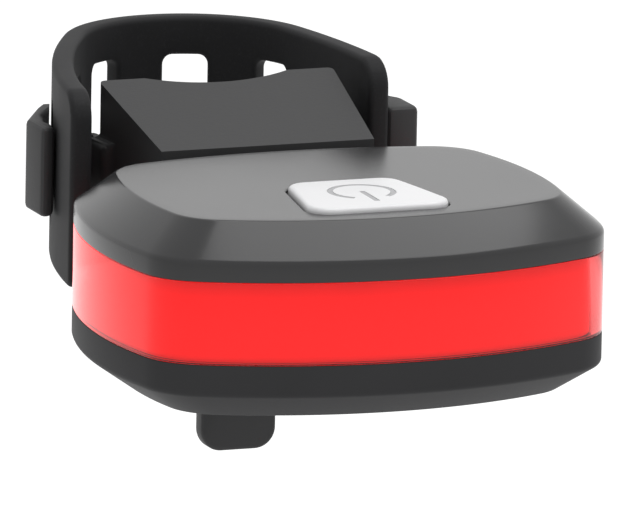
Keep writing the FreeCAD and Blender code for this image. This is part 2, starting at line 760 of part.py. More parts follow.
def cut_symbol(body):
    sketch = new_sketch(body, height="Sizes.button_proud")
    symbol_shapes(sketch, "Sizes.symbol_gap")
    pocket(body, sketch, "Sizes.symbol_depth")


def make_power_symbol():
    body = new_body("power_symbol")
    sketch = new_sketch(body, height="Sizes.button_proud - Sizes.symbol_sink")
    symbol_shapes(sketch, "0")
    pad(body, sketch, "Sizes.symbol_depth - 2 * Sizes.symbol_sink", reverse=True)


# Electronics

def make_board():
    body = new_body("circuit_board")
    sketch = new_sketch(body, height="-Sizes.board_top")
    rectangle(sketch, "-Sizes.board_half_width", "Sizes.board_half_width",
              "-Sizes.board_front", "Sizes.board_back")
    for x, y in screw_places():
        circle(sketch, x, y, "Sizes.screw_radius + Sizes.part_gap")
    pad(body, sketch, "Sizes.board_thickness", reverse=True)
    side = number("Sizes.board_half_width")
    round_edges(body, "Sizes.board_thickness",
                lambda edge: upright(edge) and abs(abs(edge.BoundBox.XMax) - side) < 1e-4)


def block(label, left, right, front, back, top, height):
    body = new_body(label)
    sketch = new_sketch(body, height=minus(top))
    rectangle(sketch, left, right, front, back)
    pad(body, sketch, height, reverse=True)
    return body


def make_electronics():
    make_board()
    half = "Sizes.switch_size / 2"
    body = block("switch_body", minus(half), half, "-%s - %s" % (BUTTON_MIDDLE, half),
                 "-%s + %s" % (BUTTON_MIDDLE, half), "Sizes.board_top - Sizes.switch_height",
                 "Sizes.switch_height")
    sketch = new_sketch(body, height="-Sizes.board_top + Sizes.switch_height")
    circle(sketch, "0", minus(BUTTON_MIDDLE), "Sizes.plunger_radius + Sizes.part_gap / 2")
    pocket(body, sketch, "Sizes.switch_height / 2")
    body = new_body("switch_plunger")
    sketch = new_sketch(body, height=minus(PLUNGER_TOP))
    circle(sketch, "0", minus(BUTTON_MIDDLE), "Sizes.plunger_radius")
    pad(body, sketch, "Sizes.plunger_rise + Sizes.switch_height / 4", reverse=True)
    half = "Sizes.chip_size / 2"
    block("control_chip", "-Sizes.chip_across - %s" % half, "-Sizes.chip_across + %s" % half,
          "-Sizes.chip_forward - %s" % half, "-Sizes.chip_forward + %s" % half,
          "Sizes.board_top - Sizes.chip_rise", "Sizes.chip_rise")
    battery = block("battery_cell", "-Sizes.battery_half_width", "Sizes.battery_half_width",
                    "-Sizes.battery_front", "-Sizes.battery_front + Sizes.battery_length",
                    "%s - Sizes.foam_height - Sizes.battery_height" % FLOOR, "Sizes.battery_height")
    round_edges(battery, "Sizes.battery_round", upright)
    half = "(Sizes.battery_half_width - Sizes.foam_inset)"
    block("battery_foam", minus(half), half, "-Sizes.battery_front + Sizes.foam_inset",
          "-Sizes.battery_front + Sizes.battery_length - Sizes.foam_inset",
          "%s - Sizes.foam_height" % FLOOR, "Sizes.foam_height")
    make_socket()


def make_socket():
    """Charging socket that hangs from the board, its mouth towards the flap."""
    wide, deep = "Sizes.socket_width / 2", "Sizes.socket_depth / 2"
    length = "(%s - Sizes.socket_mouth - %s)" % (LIGHT_BOTTOM, BOARD_BOTTOM)
    body = block("charging_socket", minus(wide), wide, "-Sizes.socket_middle - " + deep,
                 "-Sizes.socket_middle + " + deep, BOARD_BOTTOM, length)
    round_edges(body, "%s - Sizes.socket_flat / 2" % deep, upright)
    sketch = new_sketch(body, height=minus("%s - Sizes.socket_mouth" % LIGHT_BOTTOM))
    rectangle(sketch, "-(%s - Sizes.socket_wall * 3)" % wide, "%s - Sizes.socket_wall * 3" % wide,
              "-Sizes.socket_middle - (%s - Sizes.socket_wall)" % deep,
              "-Sizes.socket_middle + (%s - Sizes.socket_wall)" % deep)
    pocket(body, sketch, "Sizes.socket_hollow", reverse=True)
    sketch = new_sketch(body, height=minus("%s - Sizes.socket_mouth - Sizes.tongue_tip" % LIGHT_BOTTOM))
    rectangle(sketch, "-Sizes.tongue_half", "Sizes.tongue_half",
              "-Sizes.socket_middle - Sizes.tongue_thickness / 2",
              "-Sizes.socket_middle + Sizes.tongue_thickness / 2")
    pad(body, sketch, "Sizes.tongue_length")


def make_port_cover():
    front = "-Sizes.flap_front + Sizes.flap_thickness / 2"
    body = block("port_cover", "-Sizes.flap_half_width", "Sizes.flap_half_width", front,
                 "Sizes.flap_back", "%s - Sizes.flap_thickness" % LIGHT_BOTTOM, "Sizes.flap_thickness")
    sketch = new_sketch(body, "YZ_Plane")
    circle(sketch, front, "Sizes.flap_thickness / 2 - %s" % LIGHT_BOTTOM, "Sizes.flap_thickness / 2")
    pad(body, sketch, "2 * Sizes.flap_half_width", both=True)
    half = "(Sizes.socket_width / 2 - Sizes.flap_plug_gap)"
    deep = "(Sizes.socket_depth / 2 - Sizes.flap_plug_gap)"
    sketch = new_sketch(body, height=minus("%s - Sizes.flap_thickness" % LIGHT_BOTTOM))
    rectangle(sketch, minus(half), half, "-Sizes.socket_middle - " + deep, "-Sizes.socket_middle + " + deep)
    pad(body, sketch, "Sizes.flap_plug")


def make_screws():
    """Four equal screws with a cross recess, put in from below."""
    low = -number("%s - Sizes.screw_sink" % LIGHT_BOTTOM)
    head = number("Sizes.screw_head_height")
    overlap = FreeCAD.Vector(0, 0, head / 2)
    arm, slot = number("Sizes.driver_radius"), number("Sizes.driver_slot") / 2
    screws = []
    for x, y in screw_places():
        foot = FreeCAD.Vector(number(x), number(y), low)
        screw = Part.makeCylinder(number("Sizes.screw_head_radius"), head, foot)
        shank = number("Sizes.screw_length") + head / 2
        screw = screw.fuse(Part.makeCylinder(number("Sizes.screw_radius"), shank, foot + overlap))
        for wide, deep in ((arm, slot), (slot, arm)):
            corner = foot - FreeCAD.Vector(wide, deep, 0)
            screw = screw.cut(Part.makeBox(2 * wide, 2 * deep, number("Sizes.driver_depth"), corner))
        screws.append(screw)
    add_group("housing_screws", screws)


# Strap

STRAP_INNER = "(Sizes.post_radius + Sizes.strap_clearance)"
STRAP_MIDDLE = "(%s + Sizes.strap_thickness / 2)" % STRAP_INNER


def side_name(sign):
    return "right" if sign > 0 else "left"


def stem_middle(sign):
    return "Sizes.stem_%s_middle" % side_name(sign)


def strap_side(sign):
    """Flare, bend radius and length of the strap's right (1) or left (-1) arm, as expressions."""
    return ["Sizes.strap_%s_%s" % (side_name(sign), name) for name in ("flare", "bend", "arm")]


def arm_centre(sign):
    """Centre of the large arc that one arm follows: outwards and backwards from the post."""
    flare, bend, length = strap_side(sign)
    return ("((%s - %s) * cos(%s))" % (STRAP_MIDDLE, bend, flare),
            "((%s - %s) * sin(%s))" % (STRAP_MIDDLE, bend, flare))


def strap_outside(sign, depth, gap):
    """How far out the strap's outer face lies on one side, at a depth behind the light."""
    flare, bend, length = strap_side(sign)
    out, back = arm_centre(sign)
    off = "Sizes.light_off_centre" if sign > 0 else "-Sizes.light_off_centre"
    radius = "(%s + Sizes.strap_thickness / 2 + (%s))" % (bend, gap)
    rise = "(%s - Sizes.post_to_light - %s)" % (depth, back)
    return "(%s + %s + sqrt(%s * %s - %s * %s))" % (off, out, radius, radius, rise, rise)


def strap_sketch(body):
    """Two arcs about the post that run out into arms, which bend in again on larger arcs."""
    sketch = new_sketch(body)
    normal = FreeCAD.Vector(0, 0, 1)
    middle = number(STRAP_MIDDLE)
    half = number("Sizes.strap_thickness / 2")
    arms = {}
    for sign in (1, -1):
        flare, bend, length = [number(size) for size in strap_side(sign)]
        out, back = [number(place) for place in arm_centre(sign)]
        arms[sign] = (math.radians(flare), bend, length / bend, FreeCAD.Vector(sign * out, back, 0))
    right, right_bend, right_sweep, right_centre = arms[1]
    left, left_bend, left_sweep, left_centre = arms[-1]
    for offset in (-half, half):
        round_post = Part.Circle(FreeCAD.Vector(0, 0, 0), normal, middle + offset)
        sketch.addGeometry(Part.ArcOfCircle(round_post, right, math.pi - left))
        arm = Part.Circle(right_centre, normal, right_bend + offset)
        sketch.addGeometry(Part.ArcOfCircle(arm, right - right_sweep, right))
        arm = Part.Circle(left_centre, normal, left_bend + offset)
        sketch.addGeometry(Part.ArcOfCircle(arm, math.pi - left, math.pi - left + left_sweep))
    for sign in (1, -1):
        angle, bend, sweep, centre = arms[sign]
        way = FreeCAD.Vector(sign * math.cos(angle - sweep), math.sin(angle - sweep), 0)
        sketch.addGeometry(Part.LineSegment(centre + way * (bend - half), centre + way * (bend + half)))
    radii = (STRAP_INNER, "(%s + Sizes.strap_thickness)" % STRAP_INNER)
    for arc, radius in zip((0, 3), radii):
        sketch.addConstraint(Sketcher.Constraint("Coincident", arc, 3, -1, 1))
        sketch.addConstraint(Sketcher.Constraint("Tangent", arc, 1, arc + 1, 2))
        sketch.addConstraint(Sketcher.Constraint("Tangent", arc, 2, arc + 2, 1))
        dimension(sketch, "Radius", (arc,), radius)
    for sign, inner, tip, junction in ((1, 1, 1, 1), (-1, 2, 2, 2)):
        flare, bend, length = strap_side(sign)
        out, back = arm_centre(sign)
        line = 5 + inner
        outer = inner + 3
        sketch.addConstraint(Sketcher.Constraint("Coincident", line, 1, inner, tip))
        sketch.addConstraint(Sketcher.Constraint("Coincident", line, 2, outer, tip))
        sketch.addConstraint(Sketcher.Constraint("Coincident", inner, 3, outer, 3))
        sketch.addConstraint(Sketcher.Constraint("PointOnObject", inner, 3, line))
        dimension(sketch, "Radius", (inner,), "%s - Sizes.strap_thickness / 2" % bend)
        dimension(sketch, "DistanceY", (-1, 1, 0, junction), "%s * sin(%s)" % (STRAP_INNER, flare))
        sweep = "%s / %s * 180 / pi" % (length, bend)
        dimension(sketch, "DistanceY", (-1, 1, inner, tip),
                  "%s + (%s - Sizes.strap_thickness / 2) * sin(%s - %s)" % (back, bend, flare, sweep))
    return sketch


def strap_point(along):
    """Place on the strap's middle line, so far along it from the back, and the angle it has turned."""
    middle = number(STRAP_MIDDLE)
    sign = 1 if along > 0 else -1
    flare, bend, length = [number(size) for size in strap_side(sign)]
    limit = math.radians(90 - flare) * middle
    held = sign * min(abs(along), limit)
    first = held / middle
    turn = first + (along - held) / bend
    x = (middle - bend) * math.sin(first) + bend * math.sin(turn)
    y = (middle - bend) * math.cos(first) + bend * math.cos(turn)
    return FreeCAD.Vector(x, y, 0), turn


def make_strap():
    body = new_body("strap", on_light=False)
    pad(body, strap_sketch(body), "Sizes.strap_height", both=True)
    step_in = number("Sizes.strap_thickness")
    for place in range(-3, 3):
        along = number("Sizes.hole_shift + %d * Sizes.hole_pitch" % place)
        point, turn = strap_point(along)
        start = point - FreeCAD.Vector(math.sin(turn), math.cos(turn), 0) * step_in
        sketch = new_sketch(body, "XZ_Plane", str(-start.y))
        spin = FreeCAD.Rotation(FreeCAD.Vector(0, 1, 0), -math.degrees(turn))
        sketch.AttachmentOffset = FreeCAD.Placement(FreeCAD.Vector(start.x, 0, -start.y), spin)
        rounded_rectangle(sketch, "Sizes.hole_width / 2", "Sizes.hole_height / 2", "Sizes.hole_round")
        pocket(body, sketch, "Sizes.strap_thickness * 2")
    round_strap(body)
    return body


def round_strap(body):
    """Round the corners of the two ends."""
    thick = number("Sizes.strap_thickness")
    half_height = number("Sizes.strap_height / 2")
    for radius, height in (("Sizes.strap_end_round_top", half_height),
                           ("Sizes.strap_end_round_bottom", -half_height)):
        round_edges(body, radius, lambda edge: at_height(edge, height) and abs(edge.Length - thick) < 0.01)


# Clip and bracket

PAD_SURFACE = "(Sizes.post_to_light - Sizes.post_radius - Sizes.post_clearance)"
CRADLE_DEEP = "(%s - Sizes.pad_proud)" % PAD_SURFACE
CRADLE_CENTRE = "(%s + Sizes.cradle_radius)" % CRADLE_DEEP
BRACKET_FRONT = "(Sizes.back_depth + Sizes.bracket_gap)"
SLOT_FRONT = "(%s + Sizes.slot_lip)" % BRACKET_FRONT
PLATE_FRONT = "(%s + Sizes.clip_gap)" % SLOT_FRONT
PLATE_BACK = "(%s + Sizes.clip_plate_thickness)" % PLATE_FRONT


def make_clip():
    """Inner flange, neck through the rear wall, guide plate and the tail below."""
    body = new_body("rear_clip")
    flange_back = "(Sizes.back_depth - Sizes.cover_wall - Sizes.clip_flange_gap)"
    flange_front = "(%s - Sizes.clip_flange)" % flange_back
    sketch = new_sketch(body, height=minus("Sizes.slot_top + Sizes.clip_gap"))
    rectangle(sketch, "-Sizes.clip_plate_half", "Sizes.clip_plate_half", PLATE_FRONT, PLATE_BACK)
    pad(body, sketch, "Sizes.bracket_bottom - Sizes.slot_top", reverse=True)
    sketch = new_sketch(body, height=minus(NECK_TOP))
    rectangle(sketch, "-Sizes.clip_neck_half", "Sizes.clip_neck_half",
              flange_back + " - Sizes.sink", PLATE_FRONT + " + Sizes.sink")
    pad(body, sketch, "Sizes.clip_neck_height", reverse=True)
    sketch = new_sketch(body, height=minus(NECK_TOP + " - Sizes.clip_flange_rim"))
    rectangle(sketch, "-Sizes.clip_plate_half", "Sizes.clip_plate_half", flange_front, flange_back)
    pad(body, sketch, "Sizes.clip_neck_height + 2 * Sizes.clip_flange_rim", reverse=True)
    sketch = new_sketch(body, height=minus("Sizes.bracket_bottom - Sizes.sink"))
    rectangle(sketch, "-Sizes.clip_neck_half", "Sizes.clip_neck_half",
              PLATE_BACK + " - Sizes.clip_tail_thickness", PLATE_BACK)
    pad(body, sketch, "Sizes.clip_tail - Sizes.bracket_bottom + Sizes.sink", reverse=True)
    end = -number("Sizes.clip_tail")
    round_edges(body, "Sizes.clip_tail_round",
                lambda edge: at_height(edge, end) and edge.BoundBox.XLength < 1e-4)
    return body


def make_bracket():
    body = new_body("bracket")
    rise = "(%s - Sizes.wedge_front) * tan(Sizes.wedge_slope)" % CRADLE_CENTRE
    before = "Sizes.wedge_front - Sizes.sink"
    sketch = new_sketch(body, height=minus("Sizes.bracket_bottom"))
    polygon(sketch, [("-Sizes.bracket_half_front", "Sizes.wedge_front"),
                     ("Sizes.bracket_half_front", "Sizes.wedge_front"),
                     ("Sizes.bracket_half_back", CRADLE_DEEP + " + Sizes.cradle_depth"),
                     ("-Sizes.bracket_half_back", CRADLE_DEEP + " + Sizes.cradle_depth")])
    pad(body, sketch, "Sizes.bracket_bottom + Sizes.bracket_rise")
    sketch = new_sketch(body, "YZ_Plane")
    polygon(sketch, [(before, "-Sizes.sink * tan(Sizes.wedge_slope)"),
                     (CRADLE_CENTRE, rise), (CRADLE_CENTRE, FAR), (before, FAR)])
    pocket(body, sketch, FAR, both=True)
    sketch = new_sketch(body, "YZ_Plane")
    polygon(sketch, [(before, "-Sizes.wedge_lip"), ("Sizes.wedge_front", "-Sizes.wedge_lip"),
                     (BRACKET_FRONT, "-Sizes.wedge_foot"), (BRACKET_FRONT, minus(FAR)),
                     (before, minus(FAR))])
    pocket(body, sketch, FAR, both=True)
    sketch = new_sketch(body, height="Sizes.bracket_rise")
    circle(sketch, "0", CRADLE_CENTRE, "Sizes.cradle_radius")
    pocket(body, sketch, FAR)
    add_arms(body)
    cut_slot(body)
    cut_pad_recess(body)
    add_heads(body)
    return body


def cut_slot(body):
    """The slot that the clip's guide plate slides in, open at the bottom."""
    plate = "(Sizes.clip_plate_half + Sizes.clip_gap)"
    neck = "(Sizes.clip_neck_half + Sizes.clip_gap)"
    depth = "Sizes.bracket_bottom - Sizes.slot_top"
    for half, front, back in ((plate, SLOT_FRONT, PLATE_BACK + " + Sizes.clip_gap"),
                              (neck, BRACKET_FRONT + " - Sizes.sink", SLOT_FRONT + " + Sizes.sink")):
        sketch = new_sketch(body, height=minus("Sizes.bracket_bottom"))
        rectangle(sketch, "-" + half, half, front, back)
        pocket(body, sketch, depth, reverse=True)


def arc_band(body, half, inner, outer, centre_y):
    """Sketch between two arcs about one centre, cut off square at both sides."""
    sketch = new_sketch(body, height=minus("Sizes.light_top + Sizes.pad_height / 2"))
    middle = FreeCAD.Vector(0, number(centre_y), 0)
    wide = number(half)
    ends = []
    for radius in (number(outer), number(inner)):
        angle = math.asin(wide / radius)
        drop = radius * math.cos(angle)
        ends.append((FreeCAD.Vector(-wide, middle.y - drop, 0), FreeCAD.Vector(wide, middle.y - drop, 0)))
        full = Part.Circle(middle, FreeCAD.Vector(0, 0, 1), radius)
        sketch.addGeometry(Part.ArcOfCircle(full, 1.5 * math.pi - angle, 1.5 * math.pi + angle))
    for side in (0, 1):
        sketch.addGeometry(Part.LineSegment(ends[0][side], ends[1][side]))
        sketch.addConstraint(Sketcher.Constraint("Coincident", 0, side + 1, 2 + side, 1))
        sketch.addConstraint(Sketcher.Constraint("Coincident", 1, side + 1, 2 + side, 2))
        sketch.addConstraint(Sketcher.Constraint("Vertical", 2 + side))
    for arc, radius in ((0, outer), (1, inner)):
        dimension(sketch, "Radius", (arc,), radius)
        dimension(sketch, "DistanceY", (-1, 1, arc, 3), centre_y)
        sketch.addConstraint(Sketcher.Constraint("PointOnObject", arc, 3, -2))
    dimension(sketch, "DistanceX", (-1, 1, 2, 1), minus(half))
    dimension(sketch, "DistanceX", (-1, 1, 3, 1), half)
    return sketch


PAD_RADIUS = "(Sizes.cradle_radius - Sizes.pad_proud)"


def cut_pad_recess(body):
    outer = "%s + Sizes.pad_thickness + Sizes.part_gap" % PAD_RADIUS
    inner = "Sizes.cradle_radius - Sizes.sink"
    sketch = arc_band(body, "Sizes.pad_half_width + Sizes.part_gap", inner, outer, CRADLE_CENTRE)
    pocket(body, sketch, "Sizes.pad_height + Sizes.part_gap", reverse=True)


def make_pad():
    body = new_body("cradle_pad")
    outer = "%s + Sizes.pad_thickness" % PAD_RADIUS
    sketch = arc_band(body, "Sizes.pad_half_width", PAD_RADIUS, outer, CRADLE_CENTRE)
    pad(body, sketch, "Sizes.pad_height")


def add_arms(body):
    """Thin wings that carry the hooks past the cradle's corners, one on each side."""
    for sign in (1, -1):
        tip = "(%s + Sizes.stem_width / 2)" % stem_middle(sign)
        sketch = new_sketch(body, height=minus("Sizes.light_top + Sizes.stem_height / 2"))
        corners = [("Sizes.arm_root", "Sizes.arm_root_front"), ("Sizes.arm_outer", "Sizes.arm_root_bend"),
                   ("Sizes.arm_outer_tip", tip), ("Sizes.arm_inner_tip", tip),
                   ("Sizes.arm_root_inner", "Sizes.arm_root_back")]
        polygon(sketch, [("%d * %s" % (sign, x), y) for x, y in corners])
        pad(body, sketch, "Sizes.stem_height")


def add_heads(body):
    """Stem through the strap's hole and the head outside it, which follows the strap."""
    front = "(Sizes.hook_middle - Sizes.hook_length / 2)"
    back = "(Sizes.hook_middle + Sizes.hook_length / 2)"
    flat_end = "(%s + Sizes.hook_flat)" % front
    notch_front = "(Sizes.hook_notch_middle - Sizes.hook_notch_length / 2)"
    notch_back = "(Sizes.hook_notch_middle + Sizes.hook_notch_length / 2)"
    floor_front = "(%s + Sizes.hook_notch_slant)" % notch_front
    floor_back = "(%s - Sizes.hook_notch_slant)" % notch_back
    near = "Sizes.hook_gap"
    deep = "Sizes.hook_gap + Sizes.hook_notch_depth"
    half = "Sizes.stem_width / 2"
    for sign in (1, -1):
        middle = stem_middle(sign)
        root = "Sizes.arm_outer_tip - Sizes.stem_width / 2"
        reach = strap_outside(sign, middle, deep + " + Sizes.hook_end")
        sketch = new_sketch(body, height=minus("Sizes.light_top + Sizes.stem_height / 2"))
        corners = [(root, middle + " - " + half), (reach, middle + " - " + half),
                   (reach, middle + " + " + half), (root, middle + " + " + half)]
        polygon(sketch, [("%d * (%s)" % (sign, x), y) for x, y in corners])
        pad(body, sketch, "Sizes.stem_height")
        sketch = new_sketch(body, height="Sizes.hook_top - Sizes.hook_height")
        corners = [(strap_outside(sign, front, near), front), ("Sizes.hook_reach", front),
                   ("Sizes.hook_reach", flat_end),
                   ("Sizes.hook_shoulder", flat_end + " + Sizes.hook_shoulder_back"),
                   (strap_outside(sign, back, near + " + Sizes.hook_end"), back),
                   (strap_outside(sign, back, near), back),
                   (strap_outside(sign, notch_back, near), notch_back),
                   (strap_outside(sign, floor_back, deep), floor_back),
                   (strap_outside(sign, floor_front, deep), floor_front),
                   (strap_outside(sign, notch_front, near), notch_front)]
        polygon(sketch, [("%d * (%s)" % (sign, x), y) for x, y in corners])
        pad(body, sketch, "Sizes.hook_height")


def check_all():
    for item in doc.Objects:
        if "Invalid" in item.State or "Error" in item.State:
            raise RuntimeError("%s failed: %s" % (item.Label, item.State))
    for item in node_bodies:
        if item.Shape.isNull() or not item.Shape.isValid():
            raise RuntimeError("bad shape: " + item.Label)


make_top_cover()
make_bottom_cover()
make_lens()
make_diffuser()
make_led_strip()
make_led_chips()
make_led_frame()
make_seals()
make_button()
make_power_symbol()
make_electronics()
make_port_cover()
make_screws()
make_clip()
make_bracket()
make_pad()
make_strap()
doc.recompute()
check_all()
os.makedirs("parts", exist_ok=True)
for node in node_bodies:
    node.Shape.exportStep("parts/%s.step" % node.Label)
    print("%-16s solids %d volume %9.2f" % (node.Label, len(node.Shape.Solids), node.Shape.Volume))
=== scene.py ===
import math

import bmesh
import bpy
from bpy.props import FloatProperty, FloatVectorProperty, IntProperty, PointerProperty
from mathutils import Matrix, Vector


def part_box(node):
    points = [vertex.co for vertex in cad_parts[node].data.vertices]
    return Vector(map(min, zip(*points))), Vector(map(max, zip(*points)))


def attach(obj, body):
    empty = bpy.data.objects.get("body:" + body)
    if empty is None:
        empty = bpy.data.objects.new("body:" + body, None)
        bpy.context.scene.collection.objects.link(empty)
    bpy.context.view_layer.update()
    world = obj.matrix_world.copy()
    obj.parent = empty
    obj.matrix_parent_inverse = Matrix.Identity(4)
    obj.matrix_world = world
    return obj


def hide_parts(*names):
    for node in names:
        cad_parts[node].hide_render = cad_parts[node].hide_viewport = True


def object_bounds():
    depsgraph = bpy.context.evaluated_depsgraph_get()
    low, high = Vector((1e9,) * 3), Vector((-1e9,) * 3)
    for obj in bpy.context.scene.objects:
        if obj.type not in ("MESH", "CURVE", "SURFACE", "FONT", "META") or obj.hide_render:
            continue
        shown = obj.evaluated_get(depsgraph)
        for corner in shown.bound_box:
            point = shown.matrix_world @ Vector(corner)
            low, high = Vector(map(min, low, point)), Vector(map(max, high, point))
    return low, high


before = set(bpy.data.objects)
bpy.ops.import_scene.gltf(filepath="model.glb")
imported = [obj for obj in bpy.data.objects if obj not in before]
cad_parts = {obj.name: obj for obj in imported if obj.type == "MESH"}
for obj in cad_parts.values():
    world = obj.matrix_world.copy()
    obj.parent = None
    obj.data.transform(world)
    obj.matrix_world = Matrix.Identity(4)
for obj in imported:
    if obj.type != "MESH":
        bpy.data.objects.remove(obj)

bl_info = {
    "name": "Bicycle tail light",
    "version": (1, 0, 0),
    "blender": (4, 5, 0),
    "location": "3D View > Sidebar > Tail light",
    "description": "Builds a strap-on bicycle tail light round its packed frame",
    "category": "Object",
}

MM = 0.001
CAD_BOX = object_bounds()
COVER_LOW, COVER_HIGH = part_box("top_cover")
SCREW_HEAD = 1.5 * MM
WHITE = (1.0, 1.0, 1.0, 1.0)


# Sizes and colours that a user may change

def length(label, about, size):
    """A size property, given in millimetres and kept in metres."""
    return FloatProperty(name=label, description=about, default=size * MM, unit="LENGTH", precision=5)


def colour(label, about, value):
    return FloatVectorProperty(name=label, description=about, default=value, size=3,
                               subtype="COLOR", min=0.0, max=1.0)


def slant(label, about, degrees):
    """An angle property, given in degrees and kept in radians."""
    return FloatProperty(name=label, description=about, default=math.radians(degrees), subtype="ANGLE")


class HousingSizes(bpy.types.PropertyGroup):
    half_width: length("Half width", "From the middle to the widest point of a side", 25.15)
    side_middle: length("Side middle", "How far forward the widest point lies", 15.5)
    side_radius: length("Side radius", "Bend of the two sides, seen from above", 49.0)
    front_depth: length("Front depth", "From the origin to the foremost point", 34.6)
    front_radius: length("Front radius", "Bend of the front, seen from above", 47.3)
    back_depth: length("Back depth", "From the origin to the rearmost point", 6.5)
    back_radius: length("Back radius", "Bend of the back, seen from above", 71.8)
    corner_radius: length("Corner radius", "Round of the four corners", 7.0)
    bevel_run: length("Bevel run", "How far the slanted edge reaches inwards", 4.1)
    top_bevel: length("Top bevel", "Height of the upper slanted edge", 3.4)
    top_band: length("Top band", "Upright part of the top cover", 2.04)
    lens_height: length("Lens height", "Height of the clear band", 8.34)
    bottom_band: length("Bottom band", "Upright part of the bottom cover", 3.1)
    bottom_bevel: length("Bottom bevel", "Height of the lower slanted edge", 2.8)
    wall: length("Wall", "Thickness of the covers", 1.6)
    edge_round: length("Edge round", "Round of the covers' long edges", 0.5)
    lens_wall: length("Lens wall", "Thickness of the clear band", 1.0)
    rear_gap: length("Rear gap", "Half the gap between the lens's two rear ends", 15.5)
    diffuser_inset: length("Diffuser inset", "From the outline to the red band", 1.2)
    diffuser_wall: length("Diffuser wall", "Thickness of the red band", 1.2)
    diffuser_back: length("Diffuser back", "Where the red band's two ends lie", 3.0)


class ButtonSizes(bpy.types.PropertyGroup):
    back: length("Back edge", "From the origin to the button's rear edge", 14.5)
    front: length("Front edge", "From the origin to the button's front edge", 27.4)
    half_back: length("Half width at the back", "Half the rear edge", 5.7)
    half_front: length("Half width at the front", "Half the front edge", 7.8)
    corner: length("Corner", "Round of the button's corners", 2.2)
    proud: length("Proud", "How far the button stands above the cover", 0.55)
    gap: length("Gap", "Gap round the button", 0.2)
    crown: length("Crown", "Extra height at the middle", 0.12)
    edge: length("Edge", "Round of the button's upper edge", 0.5)
    symbol_radius: length("Sign radius", "Radius of the open ring", 3.15)
    symbol_line: length("Sign line", "Width of the sign's lines", 0.55)
    symbol_depth: length("Sign depth", "Depth of the engraved sign", 0.2)
    symbol_gap: slant("Sign gap", "Half the opening of the ring", 34.0)
    symbol_bar: length("Sign bar", "Length of the upright line", 4.4)


class StrapSizes(bpy.types.PropertyGroup):
    inner: length("Inner radius", "Radius of the strap's inner face", 11.15)
    thickness: length("Thickness", "Thickness of the rubber", 2.2)
    height: length("Height", "Height of the strap along the post", 20.0)
    left_arm: length("Left arm", "Run on the left that leaves the post", 30.7)
    right_arm: length("Right arm", "Run on the right that leaves the post", 18.5)
    left_bend: length("Left bend", "Radius of the left run", 74.0)
    right_bend: length("Right bend", "Radius of the right run", 89.0)
    left_flare: slant("Left flare", "How far the left run leans out", 30.6)
    right_flare: slant("Right flare", "How far the right run leans out", 13.6)
    end_top: length("End round, top", "Round of the ends' upper corners", 3.0)
    end_bottom: length("End round, bottom", "Round of the ends' lower corners", 1.2)
    rim: length("Rim", "Round of the strap's long edges", 0.55)
    hole_width: length("Hole width", "Width of a strap hole", 4.9)
    hole_height: length("Hole height", "Height of a strap hole", 12.0)
    hole_corner: length("Hole corner", "Round of a hole's corners", 1.0)
    hole_pitch: length("Hole pitch", "From one hole to the next", 10.6)
    hole_shift: length("Hole shift", "Where the first hole right of the middle lies", 3.5)
    holes: IntProperty(name="Holes", description="Holes in the row", default=6, min=2, max=10)


class Colours(bpy.types.PropertyGroup):
    cover: colour("Covers", "Moulded plastic of the two covers", (0.030, 0.030, 0.031))
    bracket: colour("Bracket", "Moulded plastic of bracket and clip", (0.036, 0.036, 0.037))
    rubber: colour("Rubber", "Strap and flap", (0.017, 0.017, 0.018))
    lens: colour("Lens", "Tint of the clear outer band", (1.0, 0.11, 0.11))
    glow: colour("Glow", "Light that leaves the red band", (1.0, 0.006, 0.006))
    button: colour("Button", "Plastic of the button", (0.80, 0.80, 0.81))
    sign: colour("Sign", "Paint in the engraved sign", (0.42, 0.42, 0.43))


# Nodes written as plain sums

class Wire:
    """An output socket of a node tree. Sums and products of wires add the Math nodes."""

    def __init__(self, tree, socket):
        self.tree = tree
        self.socket = socket

    def _math(self, operation, first, second=None):
        node = self.tree.nodes.new("ShaderNodeMath")
        node.operation = operation
        for place, value in enumerate((first, second)):
            if value is not None:
                connect(self.tree, value, node.inputs[place])
        return Wire(self.tree, node.outputs[0])

    def __add__(self, other):
        return self._math("ADD", self, other)

    def __sub__(self, other):
        return self._math("SUBTRACT", self, other)

    def __rsub__(self, other):
        return self._math("SUBTRACT", other, self)

    def __mul__(self, other):
        return self._math("MULTIPLY", self, other)

    def __truediv__(self, other):
        return self._math("DIVIDE", self, other)

    def smallest(self, other):
        return self._math("MINIMUM", self, other)

    def largest(self, other):
        return self._math("MAXIMUM", self, other)

    def above(self, other):
        """1 where the wire is greater, else 0."""
        return self._math("GREATER_THAN", self, other)

    def back_and_forth(self, reach):
        """Rises to a reach and falls to zero again, over and over."""
        return self._math("PINGPONG", self, reach)

    def between(self, low, high):
        """From low to high as the wire goes from 0 to 1."""
        return self * (high - low) + low

    def sine(self):
        return self._math("SINE", self)

    def cosine(self):
        return self._math("COSINE", self)


def connect(tree, value, socket):
    """Link a wire to a socket, or write a plain value into it."""
    if isinstance(value, Wire):
        tree.links.new(value.socket, socket)
    else:
        socket.default_value = value


def add_node(tree, kind, settings=None, values=None):
    """One node: its settings are set first, then the values or links of its inputs."""
    node = tree.nodes.new(kind)
    for name, setting in (settings or {}).items():
        if name == "stops":
            set_stops(node.color_ramp, setting)
        else:
            setattr(node, name, setting)
    for name, value in (values or {}).items():
        connect(tree, value, node.inputs[name])
    return node


def wire_from(tree, kind, settings=None, values=None, output=0):
    """One output of a new node, as a wire."""
    return Wire(tree, add_node(tree, kind, settings, values).outputs[output])


def bare_tree(owner):
    """The emptied node tree of a new material or world."""
    owner.use_nodes = True
    owner.node_tree.nodes.clear()
    return owner.node_tree


def set_stops(ramp, stops):
    while len(ramp.elements) < len(stops):
        ramp.elements.new(0.5)
    for element, (place, shade) in zip(ramp.elements, stops):
        element.position = place
        element.color = (shade, shade, shade, 1.0)


